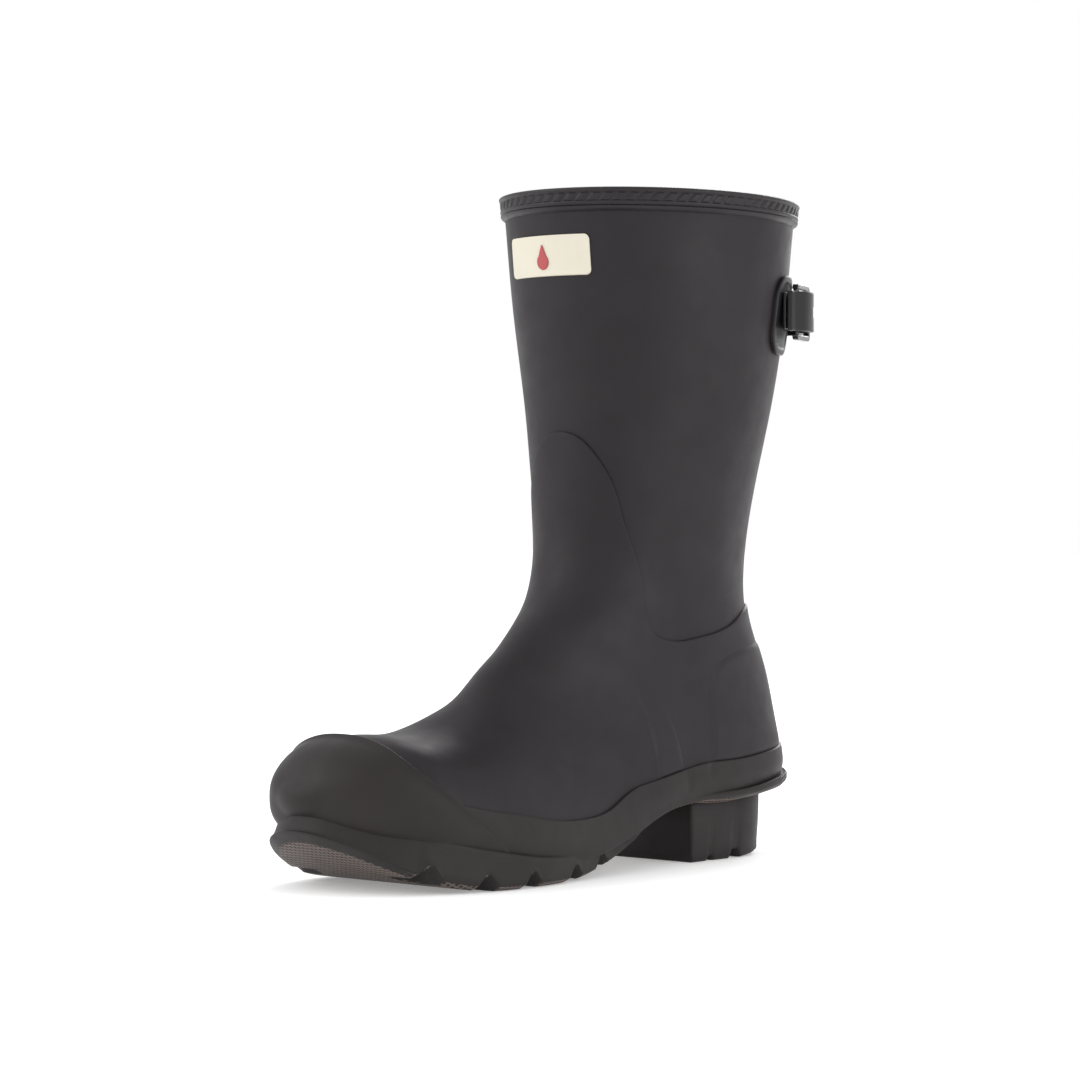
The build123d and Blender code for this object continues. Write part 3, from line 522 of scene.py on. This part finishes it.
FOAM = rubber("foam_look", (0.20, 0.20, 0.21), 0.9, grain=0.4, shade=0.1)
STEEL = rubber("shank_steel_look", (0.45, 0.45, 0.46), 0.32, grain=0.02, metal=1.0, shade=0.08)


def knit(name, colour, pitch):
    """Knitted or woven cloth: crossing rows of stitches, with colour drift and a soft sheen."""
    material = rubber(name, colour, 0.88, grain=0.5, shade=0.2)
    tree = material.node_tree
    nodes = tree.nodes
    shader = nodes["Principled BSDF"]
    shader.inputs["Sheen Weight"].default_value = 0.4
    place = nodes["Texture Coordinate"]
    wave = nodes.new("ShaderNodeTexWave")
    wave.bands_direction = "DIAGONAL"
    wave.inputs["Scale"].default_value = 1 / (pitch * MM) / 6
    wave.inputs["Distortion"].default_value = 1.5
    link(tree, place.outputs["Object"], wave.inputs["Vector"])
    link(tree, wave.outputs["Fac"], nodes["Bump"].inputs["Height"])
    return material


LINING = knit("lining_look", (0.085, 0.085, 0.09), 1.2)
COVER = knit("cover_fabric_look", (0.07, 0.07, 0.075), 0.9)
STIFF = knit("stiffener_look", (0.30, 0.29, 0.27), 0.8)
KEPT = {"toe_puff": STIFF, "lining_leg": LINING, "lining_foot": LINING, "insole_board": BOARD,
        "footbed": FOAM, "footbed_cover": COVER, "arch_shank": STEEL, "forefoot_filler": FOAM,
        "heel_filler": FOAM}
for node, look in KEPT.items():
    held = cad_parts[node]
    held.data.materials.clear()
    held.data.materials.append(look)
    held.data.shade_smooth()


# ---- regions of the boot's surface

sole_top = smooth_line(SOLE_TOP)
sole_under = smooth_line(SOLE_UNDER, 0.8)
rand_top = smooth_line(RAND_TOP)
peak = OVERLAY_TOP[-1]
overlay_top = np.concatenate([smooth_line(OVERLAY_TOP), [(330, peak[1])]])
toe_rear = smooth_line(TOE_CAP_REAR)
counter_edge = smooth_line(COUNTER_EDGE)
stay_rear, stay_front = smooth_line(STAY_REAR), smooth_line(STAY_FRONT)


RIM_BACK, RIM_FRONT = (-0.5, 287.0), (136.0, 290.0)     # the rim's plane in the side view
RIM_CUT = 1.3              # the leg's cut edge lies this far under it


def rim_drop(points):
    """Height of the rim's plane over each point."""
    slope = (RIM_FRONT[1] - RIM_BACK[1]) / (RIM_FRONT[0] - RIM_BACK[0])
    return RIM_BACK[1] + slope * (u_of(points) - RIM_BACK[0]) - points[:, 2]


GUSSET_TIP = 172.0
GUSSET_TIP_HALF = 3.0
GUSSET_SLOPE = 12.0 / 118.0
REAR_PART = 60.0           # the gusset lies behind this u, the label in front of it


def gusset_field(points):
    """Distance inside the V at the back of the leg."""
    half = GUSSET_TIP_HALF + (points[:, 2] - GUSSET_TIP) * GUSSET_SLOPE
    inside = np.minimum(half - np.abs(points[:, 0]), points[:, 2] - GUSSET_TIP)
    return np.where(points[:, 1] > HEEL_Y - REAR_PART, inside, -np.abs(points[:, 0]) - 20)


def over_sole(points):
    return side_distance(sole_top, u_of(points), points[:, 2]) - 0.05


def leg_field(points):
    return np.minimum(np.minimum(rim_drop(points) - RIM_CUT, -gusset_field(points)), over_sole(points))


def overlay_field(points):
    top = -side_distance(overlay_top, u_of(points), points[:, 2])
    return np.minimum(top, over_sole(points))


SOLE_LAP = 3.0             # how far the rand and the toe cap run down behind the sole's lip


def toe_field(points):
    return np.minimum(side_distance(toe_rear, u_of(points), points[:, 2]), over_sole(points) + SOLE_LAP)


def rand_field(points):
    u, z = u_of(points), points[:, 2]
    behind_cap = 5.0 - side_distance(toe_rear, u, z)
    return np.minimum(np.minimum(-side_distance(rand_top, u, z), over_sole(points) + SOLE_LAP), behind_cap)


def counter_field(points):
    u, z = u_of(points), points[:, 2]
    return np.minimum(-side_distance(counter_edge, u, z), side_distance(rand_top, u, z) + 1.0)


STAY_TOP = 84.0            # the stays' upper ends
STAY_TAPER = 0.3


def stay_field(side):
    def field(points):
        u, z = u_of(points), points[:, 2]
        between = np.minimum(side_distance(stay_rear, u, z), -side_distance(stay_front, u, z))
        ends = np.minimum(side_distance(rand_top, u, z) + 1.0, (STAY_TOP - z) * STAY_TAPER)
        return np.minimum(np.minimum(between, ends), points[:, 0] * side - 5)
    return field


AROUND = (0, COLUMNS)
BOND = 0.05                # between bonded layers
VAMP_DIP = 0.9             # hollow behind the toe cap's rear edge
CAP_RIDGE = 1.2            # ridge along that edge
CAP_FOLD = 0.4             # where the rand runs into the cap
RAND_GROOVE = 0.5
RAND_TUCK = 1.2            # over the lip of the sole, round the heel
CREASE_HALF = 2.0          # gusset's middle crease
SOFT_DIP = 0.15            # a soft relief's border lies this far inside the overlay
SOFT_ROOT = 0.4            # and its underside this far


def make_leg():
    skin = panel(leg_field, LEG_IN, 0.0, (2.0, TIP_END), AROUND, 2.4, 0.5)
    new_piece("leg_rubber", *skin, "leg_upper", "root", "upper_rubber", UPPER)


def make_gusset():
    def field(points):
        return np.minimum(gusset_field(points) - BOND, rim_drop(points) - RIM_CUT)

    def level(points):
        crease = np.exp(-(points[:, 0] / CREASE_HALF) ** 2)
        return GUSSET_OUT - crease * np.clip((points[:, 2] - GUSSET_TIP) / 60, 0, 1)

    back = (COLUMNS / 2 - 24, COLUMNS / 2 + 24)
    skin = panel(field, LEG_IN, level, (2.0, 150.0), back, 0.8, 0.3)
    new_piece("gusset_panel", *skin, "back_gusset", "root", "gusset_rubber", GUSSET)


def make_overlay():
    def level(points):
        behind = -side_distance(toe_rear, u_of(points), points[:, 2])
        upper = np.clip((points[:, 2] - 38) / 15, 0, 1)
        return OVERLAY_OUT - VAMP_DIP * np.exp(-(behind / 6) ** 2) * upper

    skin = panel(overlay_field, BOND, level, (90.0, TIP_END), AROUND, 1.8, 0.6)
    new_piece("overlay_skin", *skin, "vamp_overlay", "root", "upper_rubber", UPPER)


def make_toe_cap():
    def level(points):
        u, z = u_of(points), points[:, 2]
        near = np.maximum(side_distance(toe_rear, u, z), 0)
        high = np.clip((z - 26) / 12, 0, 1)
        ridge = CAP_RIDGE * np.exp(-(near / 1.8) ** 2) * high
        fold = CAP_FOLD * np.clip(0.5 - side_distance(rand_top, u, z) / 4, 0, 1)
        return TOE_CAP_OUT - 0.1 + ridge + fold * np.clip((244 - u) / 14, 0, 1)

    skin = panel(toe_field, OVERLAY_OUT + BOND, level, (250.0, TIP_END), AROUND, 1.2, 0.9)
    new_piece("toe_cap_skin", *skin, "toe_cap", "root", "rand_rubber", RAND)


def make_rand():
    def level(points):
        """Soft grooves where the counter's and the stay's edges show, and a tuck over the heel's lip."""
        u, z = u_of(points), points[:, 2]
        seam = np.minimum(np.abs(side_distance(counter_edge, u, z)), np.abs(side_distance(stay_rear, u, z)))
        tuck = np.clip(1 - over_sole(points) / 7, 0, 1) ** 1.5 * np.clip((125 - u) / 30, 0, 1)
        height = RAND_OUT - RAND_GROOVE * np.exp(-(seam / 1.8) ** 2) - RAND_TUCK * tuck
        return np.maximum(height, OVERLAY_OUT + 0.2)

    skin = panel(rand_field, OVERLAY_OUT + BOND, level, (190.0, TIP_END), AROUND, 1.3, 0.5)
    new_piece("rand_skin", *skin, "rand_strip", "root", "rand_rubber", RAND)


def soft_level(field, width, fade_top=200.0):
    """Height of a relief that rises over width inside its border and fades out towards fade_top."""
    def level(points):
        t = np.clip(field(points) / width, 0, 1)
        t = t * np.clip((fade_top - points[:, 2]) / 30, 0, 1)
        return OVERLAY_OUT - SOFT_DIP + (COUNTER_OUT + SOFT_DIP - OVERLAY_OUT) * t * t * (3 - 2 * t)
    return level


def make_counter():
    level = soft_level(counter_field, 2.6)
    skin = panel(counter_field, OVERLAY_OUT - SOFT_ROOT, level, (170.0, 300.0), AROUND, 1.2, soft=True)
    new_piece("counter_relief", *skin, "heel_counter", "root", "upper_rubber", UPPER)


def make_stays():
    for name, side, columns in (("lateral", 1, (10, 170)), ("medial", -1, (190, 350))):
        field = stay_field(side)
        level = soft_level(field, 2.4, STAY_TOP + 2)
        skin = panel(field, OVERLAY_OUT - SOFT_ROOT, level, (170.0, 340.0), columns, 0.9, soft=True)
        new_piece(f"stay_relief_{name}", *skin, f"instep_stay_{name}", "root", "upper_rubber", UPPER)


# ---- rim band

BAND_PROFILE = [(4.4, -2.9), (4.1, -3.6), (1.6, -3.65), (0.5, -3.2), (0.0, -2.2), (-0.1, -0.8), (0.0, 0.6),
                (0.35, 1.5), (0.9, 1.95), (1.6, 2.0), (2.1, 1.85), (2.4, 1.35), (2.8, 1.3), (3.1, 1.3),
                (3.4, 1.3), (4.2, 1.3), (5.0, 1.3), (5.4, 1.3), (5.8, 1.3), (6.3, 1.35), (6.6, 1.8),
                (7.0, 1.95), (7.6, 1.95), (8.0, 1.75), (8.3, 1.4), (8.6, 1.7), (9.0, 1.95), (9.5, 1.9),
                (9.9, 1.5), (10.1, 0.8), (10.15, 0.05)]
DASH_PITCH = 5.2
DASH_SHARE = 0.72          # of the pitch
DASH_HEIGHT = 0.45
DASH_ROWS = (2.9, 5.9)     # band heights that the dashes lie between
DASH_SLANT = 0.8
GIRTH = 390.0


def make_band():
    """Rim band with two ridges, a row of raised dashes between them and a lower lip."""
    around = 1080
    columns = np.linspace(0, COLUMNS, around, endpoint=False)
    heights = np.array([h for h, _ in BAND_PROFILE])
    levels = np.array([level for _, level in BAND_PROFILE])
    probe = np.linspace(0, 40, 60)
    s, c = np.meshgrid(probe, columns, indexing="ij")
    drops = rim_drop(surface(s.ravel(), c.ravel(), 0)[0]).reshape(s.shape)
    points = []
    for h, level in zip(heights, levels):
        at = np.array([np.interp(h, drops[:, k], probe) for k in range(around)])
        raised = np.full(around, level)
        if DASH_ROWS[0] < h < DASH_ROWS[1]:
            phase = (columns / COLUMNS * GIRTH + (h - 4.4) * DASH_SLANT) / DASH_PITCH % 1
            raised += DASH_HEIGHT * np.clip(np.minimum(phase, DASH_SHARE - phase) * 12, 0, 1)
        points.append(surface(at, columns, raised)[0])
    faces = grid_faces(len(heights), around)
    new_piece("rim_band", np.concatenate(points), faces, "top_band", "root", "band_rubber", BAND)


def grid_faces(high, around, closed=True):
    """Faces of a tube of rings; a closed one joins its last ring to its first."""
    faces = []
    for i in range(high if closed else high - 1):
        for j in range(around):
            a, b = i * around, (i + 1) % high * around
            faces.append((a + j, a + (j + 1) % around, b + (j + 1) % around, b + j))
    return faces


# ---- sole and heel

LUG_DEPTH = 5.0
LUG_HALF = 4.8             # half width of a gap at the ground
LUG_REACH = 15.0           # how far a gap runs in from the sole's edge


def lug_rise(u, inset):
    """Height of the V gaps over the sole's underside."""
    rise = 0
    for place in LUG_PLACES:
        rise = np.maximum(rise, LUG_DEPTH * np.clip(1.25 * (1 - np.abs(u - place) / LUG_HALF), 0, 1))
    return rise * np.clip(LUG_REACH - inset, 0, 1)


def inward(ring):
    """Unit directions into a counter-clockwise or clockwise closed outline."""
    along = np.roll(ring, -1, axis=0) - np.roll(ring, 1, axis=0)
    along /= np.linalg.norm(along, axis=1)[:, None]
    turn = np.stack([-along[:, 1], along[:, 0]], axis=1)
    centre = ring.mean(axis=0)
    outward_share = ((centre - ring) * turn).sum(axis=1).mean()
    return turn * np.sign(outward_share)


CENTRE_STEPS = 240
CORE_LIFT = -0.05          # the flat core lies this far under the top line


def straight(inset, _origin, rise):
    return inset, rise


def ring_body(outline, profile, top, bottom, core_steps, bend=straight):
    """Closed body from a plan outline: (inset, measured from, height) rows, then flat cores.

    bend changes a row's inset and height along the outline."""
    into = inward(outline)
    u = outline[:, 1]
    levels = np.linspace(u.min(), u.max(), CENTRE_STEPS)
    sides = []
    for part in (outline[outline[:, 0] >= 0], outline[outline[:, 0] < 0]):
        part = part[np.argsort(part[:, 1])]
        sides.append(np.interp(levels, part[:, 1], part[:, 0]))
    centre = np.interp(u, levels, (sides[0] + sides[1]) / 2)
    rings = []

    def add(x, at_u, z):
        rings.append(np.stack([x, HEEL_Y - at_u, z], axis=1))

    def placed(row):
        inset, rise = bend(*row)
        inset = np.broadcast_to(inset, u.shape)
        return outline + into * inset[:, None], inset, rise

    def core(row, share, z_of):
        spot, inset, _ = placed(row)
        x = spot[:, 0] + (centre - spot[:, 0]) * share
        add(x, spot[:, 1], z_of(spot[:, 1], inset + np.abs(x - spot[:, 0])))

    for share in core_steps[::-1]:
        core(profile[0], share, lambda at, deep: np.interp(at, top[:, 0], top[:, 1]) + CORE_LIFT)
    for row in profile:
        spot, inset, rise = placed(row)
        origin = row[1]
        if origin == "top":
            z = np.interp(spot[:, 1], top[:, 0], top[:, 1]) + rise
        elif origin == "bottom":
            z = bottom(spot[:, 1], np.maximum(inset, 0.0)) + rise
        else:
            high = np.interp(spot[:, 1], top[:, 0], top[:, 1])
            low = bottom(spot[:, 1], np.maximum(inset, 0.0))
            z = low + (high - low) * rise
        add(spot[:, 0], spot[:, 1], z)
    for share in core_steps:
        core(profile[-1], share, bottom)
    return np.concatenate(rings), grid_faces(len(rings), len(outline), closed=False)


TOE_LEAN = 4.6             # the sole's wall is drawn in at its top round the toe
HEEL_COVE = 5.0            # and at its bottom round the heel, under a lip
HEEL_LIP = 1.3             # lip's reach past the plan outline at the heel's sides
LIP_DROP = 1.1             # lip's top under the top line


def make_sole():
    outline = smooth_ring(SOLE_OUTLINE, 1000)

    def under(u, inset):
        return np.interp(u, sole_under[:, 0], sole_under[:, 1]) + lug_rise(u, inset)

    profile = [(4.5, "top", 0.9), (3.0, "top", 0.75), (1.7, "top", 0.3), (0.8, "top", -0.15),
               (0.25, "top", -0.7), (0.0, "top", -1.4), (0.05, "top", -2.3), (0.1, "share", 0.6),
               (0.12, "share", 0.5), (0.08, "share", 0.4), (0.0, "share", 0.3), (0.0, "bottom", 2.3),
               (0.25, "bottom", 1.95), (0.8, "bottom", 1.6), (3.6, "bottom", 0.15), (4.4, "bottom", 0.0),
               (5.2, "bottom", 0.0), (6.5, "bottom", 0.0)]
    toe = TOE_LEAN * np.clip((outline[:, 1] - 228) / 34, 0, 1)
    heel = np.clip((122 - outline[:, 1]) / 26, 0, 1)
    beside = np.clip((outline[:, 1] - 2) / 18, 0, 1)

    def bend(inset, origin, rise):
        """Wall drawn in at the top of the toe, a lip over a cove round the heel."""
        lean = {"top": 1.0, "bottom": 0.0, "share": rise}[origin]
        low = {"top": 0.0, "bottom": 1.0, "share": max(1 - rise / 0.6, 0)}[origin]
        drop = LIP_DROP * min(max(inset - 0.8, 0), 1) if origin == "top" else 0.0
        lip = HEEL_LIP * (1 - low) * beside
        return inset + toe * lean + heel * (HEEL_COVE * low ** 1.4 - lip), rise - drop * heel

    steps = [0.12, 0.24, 0.34, 0.42, 0.5, 0.7, 1.0]
    body = ring_body(outline, profile, sole_top, under, steps, bend)
    new_piece("sole_body", *body, "outsole", "root", "sole_rubber", SOLE)


HEEL_BACK = 9.0
HEEL_LENGTH = 67.0
HEEL_HALF = 31.0
HEEL_ROUND = 32.0
TREAD_DEPTH = 4.0
TREAD_RIM = 14.0
SPLIT_SHIFT = 2.5          # cross gap, forward of the heel's middle
SPLIT_HALF = 4.0
NICKS = (17.0, 53.0)       # smaller gaps, from the heel's back
NICK_HALF = 2.6
BEVEL_RISE = 3.0           # tread's rise at the back
BEVEL_LENGTH = 34.0
BREAST_CORNER = 2.0


def heel_outline():
    """Heel block's plan, (x, u): round back, straight sides, breast with small corners."""
    turn = np.linspace(0, np.pi, 60)
    back = [(HEEL_HALF * math.cos(a), HEEL_BACK + HEEL_ROUND * (1 - math.sin(a))) for a in turn]
    breast = HEEL_BACK + HEEL_LENGTH
    corner = BREAST_CORNER
    swing = np.linspace(0, np.pi / 2, 7)
    left = [(-HEEL_HALF + corner * (1 - math.cos(a)), breast - corner * (1 - math.sin(a))) for a in swing]
    right = [(-x, u) for x, u in left[::-1]]
    line = np.array(back + left + right + back[:1])
    reach = np.concatenate([[0], np.cumsum(np.linalg.norm(np.diff(line, axis=0), axis=1))])
    want = np.linspace(0, reach[-1], 560, endpoint=False)
    return np.stack([np.interp(want, reach, line[:, i]) for i in (0, 1)], axis=1)


def make_heel():
    outline = heel_outline()
    middle = HEEL_BACK + HEEL_LENGTH / 2 + SPLIT_SHIFT

    def under(u, inset):
        split = np.clip((SPLIT_HALF - np.abs(u - middle)) / 2.2, 0, 1)
        for nick in NICKS:
            near = NICK_HALF - np.abs(u - HEEL_BACK - nick)
            split = np.maximum(split, 0.55 * np.clip(near / 1.4, 0, 1))
        hollow = np.clip(inset - TREAD_RIM, 0, 1)
        bevel = BEVEL_RISE * np.clip((HEEL_BACK + BEVEL_LENGTH - u) / BEVEL_LENGTH, 0, 1)
        return np.maximum(TREAD_DEPTH * np.maximum(split, hollow), bevel)

    profile = [(1.0, "top", 0.6), (0.3, "top", 0.4), (0.0, "top", -0.6), (0.1, "share", 0.7),
               (0.4, "share", 0.45), (0.7, "share", 0.28), (0.9, "share", 0.18), (1.0, "bottom", 1.1),
               (1.3, "bottom", 0.5), (1.8, "bottom", 0.12), (2.6, "bottom", 0.0), (8.0, "bottom", 0.0),
               (12.0, "bottom", 0.0)]
    body = ring_body(outline, profile, sole_under, under, [0.05, 0.1, 0.15, 0.3, 0.6, 1.0])
    new_piece("heel_body", *body, "heel_block", "root", "sole_rubber", HEEL)


# ---- label, strap patches, strap and buckle

LABEL_SHIFT = -4.0
LABEL_Z = 261.5
LABEL_HALF = (23.5, 8.5)
LABEL_CORNER = 2.2
LABEL_FRAME = 1.3            # raised border
LABEL_SUNK = 0.22            # label's field under its border
DROP_HEIGHT = 11.0
DROP_OUT = 1.3


def rounded_box(x, z, half_x, half_z, corner):
    """Distance inside a rounded rectangle."""
    dx, dz = np.abs(x) - half_x + corner, np.abs(z) - half_z + corner
    outside = np.hypot(np.maximum(dx, 0), np.maximum(dz, 0))
    return corner - outside - np.minimum(np.maximum(dx, dz), 0)


def make_label():
    def plate(points):
        x, z = points[:, 0] - LABEL_SHIFT, points[:, 2] - LABEL_Z
        return np.where(points[:, 1] < HEEL_Y - REAR_PART, rounded_box(x, z, *LABEL_HALF, LABEL_CORNER), -5)

    def level(points):
        return LABEL_OUT - LABEL_SUNK * np.clip((plate(points) - LABEL_FRAME) * 4, 0, 1)

    skin = panel(plate, 0.05, level, (25.0, 60.0), (-32, 32), 0.5, 0.3)
    new_piece("label_body", *skin, "label_plate", "root", "label_plastic", LABEL)
    round_r = DROP_HEIGHT * 0.3

    def drop(points):
        x, z = points[:, 0] - LABEL_SHIFT, points[:, 2] - LABEL_Z + DROP_HEIGHT / 2 - round_r
        ball = round_r - np.hypot(x, z)
        tip = DROP_HEIGHT - round_r
        cone = (round_r * 0.97 * (1 - z / tip) - np.abs(x)) * 0.9
        inside = np.where(z > 0.25 * round_r, np.maximum(ball, np.minimum(cone, tip - z)), ball)
        return np.where(points[:, 1] < HEEL_Y - REAR_PART, inside, -5)

    motif = panel(drop, LABEL_OUT - 0.2, DROP_OUT, (30.0, 55.0), (-12, 8), 0.25, 0.15)
    new_piece("label_drop", *motif, "label_motif", "root", "motif_plastic", MOTIF)


STRAP_Z = 240.0
PATCH_HALF = (13.5, 17.0)
PATCH_ANGLE = 26.0
PATCH_DROP = 2.0             # patch's middle under the strap's
PATCH_CORNER = 11.0
PATCH_FRAME = 3.4
PATCH_SUNK = 0.5
LEG_HALF = (57.2, 63.6)      # leg's half axes at the strap's height
LEG_CENTRE_U = 68.1


def patch_field(side):
    """Distance inside the patch on one side of the leg: lateral 1, medial -1."""
    angle = math.radians(PATCH_ANGLE)
    normal = np.array([side * math.cos(angle), math.sin(angle)])
    size = math.hypot(LEG_HALF[0] * normal[0], LEG_HALF[1] * normal[1])
    centre = np.array([LEG_HALF[0] ** 2 * normal[0] / size,
                       LEG_HALF[1] ** 2 * normal[1] / size + HEEL_Y - LEG_CENTRE_U])
    across = np.array([-normal[1], normal[0]])

    def field(points):
        x = (points[:, :2] - centre) @ across
        inside = rounded_box(x, points[:, 2] - STRAP_Z + PATCH_DROP, *PATCH_HALF, PATCH_CORNER)
        return np.where(points[:, 0] * side > 5, inside, -5)
    return field


def patch_level(field):
    """Raised border round a sunk field."""
    def level(points):
        return PATCH_OUT - PATCH_SUNK + PATCH_SUNK * np.clip((PATCH_FRAME - field(points)) * 1.2, 0, 1)
    return level


def make_patches():
    for name, side, columns in (("lateral", 1, (60, 165)), ("medial", -1, (195, 300))):
        field = patch_field(side)
        skin = panel(field, 0.05, patch_level(field), (25.0, 85.0), columns, 0.6, 0.7)
        new_piece(f"patch_{name}", *skin, f"strap_patch_{name}", "root", "trim_rubber", TRIM)


def make_strap_and_buckle():
    moulded_copy("strap", "strap_band", 0.45, 3, "root", "trim_rubber", TRIM)
    moulded_copy("buckle_tab", "tab_fold", 0.3, 3, "root", "trim_rubber", TRIM)
    moulded_copy("buckle_frame", "buckle_body", 0.22, 4, "buckle", "buckle_metal", METAL)
    moulded_copy("buckle_bar", "buckle_pin", 0.22, 2, "buckle", "buckle_metal", METAL)
    moulded_copy("buckle_tongue", "buckle_prong", 0.2, 4, "tongue", "buckle_metal", METAL)


make_leg()
make_gusset()
make_overlay()
make_toe_cap()
make_rand()
make_counter()
make_stays()
make_band()
make_sole()
make_heel()
make_label()
make_patches()
make_strap_and_buckle()


# ---- camera, floor and light

CAMERA_TURN = math.radians(42)
CAMERA_REACH = 1.5
CAMERA_HEIGHT = 0.1555
CAMERA_LENS = 117.5
LIGHT_AIM = 0.14
FLOOR_HALF = 8.0
FLOOR_GLOW = 0.25          # hides the horizon
CENTRE_Y = (HEEL_Y - 140) * MM
AIM_HEIGHT = 0.1405


def add_camera():
    data = bpy.data.cameras.new("camera")
    data.lens = CAMERA_LENS
    data.sensor_width = 36
    data.clip_end = 20
    camera = bpy.data.objects.new("camera", data)
    place = Vector((CAMERA_REACH * math.sin(CAMERA_TURN), CENTRE_Y - CAMERA_REACH * math.cos(CAMERA_TURN),
                    CAMERA_HEIGHT))
    camera.location = place
    camera.rotation_euler = (Vector((0, CENTRE_Y, AIM_HEIGHT)) - place).to_track_quat("-Z", "Y").to_euler()
    bpy.context.scene.collection.objects.link(camera)
    bpy.context.scene.camera = camera


def add_light(name, turn, height, reach, size, power):
    """Square soft light at a plan angle, aimed at the middle of the boot."""
    data = bpy.data.lights.new(name, "AREA")
    data.size = size
    data.energy = power
    lamp = bpy.data.objects.new(name, data)
    angle = math.radians(turn)
    lamp.location = (reach * math.sin(angle), -reach * math.cos(angle), height)
    lamp.rotation_euler = (Vector((0, 0, LIGHT_AIM)) - lamp.location).to_track_quat("-Z", "Y").to_euler()
    bpy.context.scene.collection.objects.link(lamp)


def add_floor():
    mesh = bpy.data.meshes.new("floor")
    corners = [(x * FLOOR_HALF, y * FLOOR_HALF, 0) for x, y in ((-1, -1), (1, -1), (1, 1), (-1, 1))]
    mesh.from_pydata(corners, [], [(0, 1, 2, 3)])
    floor = bpy.data.objects.new("floor", mesh)
    bpy.context.scene.collection.objects.link(floor)
    look = bpy.data.materials.new("floor_look")
    look.use_nodes = True
    shader = look.node_tree.nodes["Principled BSDF"]
    shader.inputs["Base Color"].default_value = (0.9, 0.9, 0.9, 1)
    shader.inputs["Roughness"].default_value = 0.9
    shader.inputs["Emission Color"].default_value = (1, 1, 1, 1)
    shader.inputs["Emission Strength"].default_value = FLOOR_GLOW
    floor.data.materials.append(look)


def add_world():
    world = bpy.data.worlds.new("studio")
    world.use_nodes = True
    background = world.node_tree.nodes["Background"]
    background.inputs["Color"].default_value = (1, 1, 1, 1)
    background.inputs["Strength"].default_value = 1.0
    bpy.context.scene.world = world


bpy.context.scene.view_settings.view_transform = "Standard"
add_camera()
add_floor()
add_world()
add_light("key", -35, 0.9, 1.4, 1.3, 9)
add_light("fill", 95, 0.5, 1.6, 0.9, 7)
add_light("rim", 200, 0.7, 1.4, 0.7, 9)
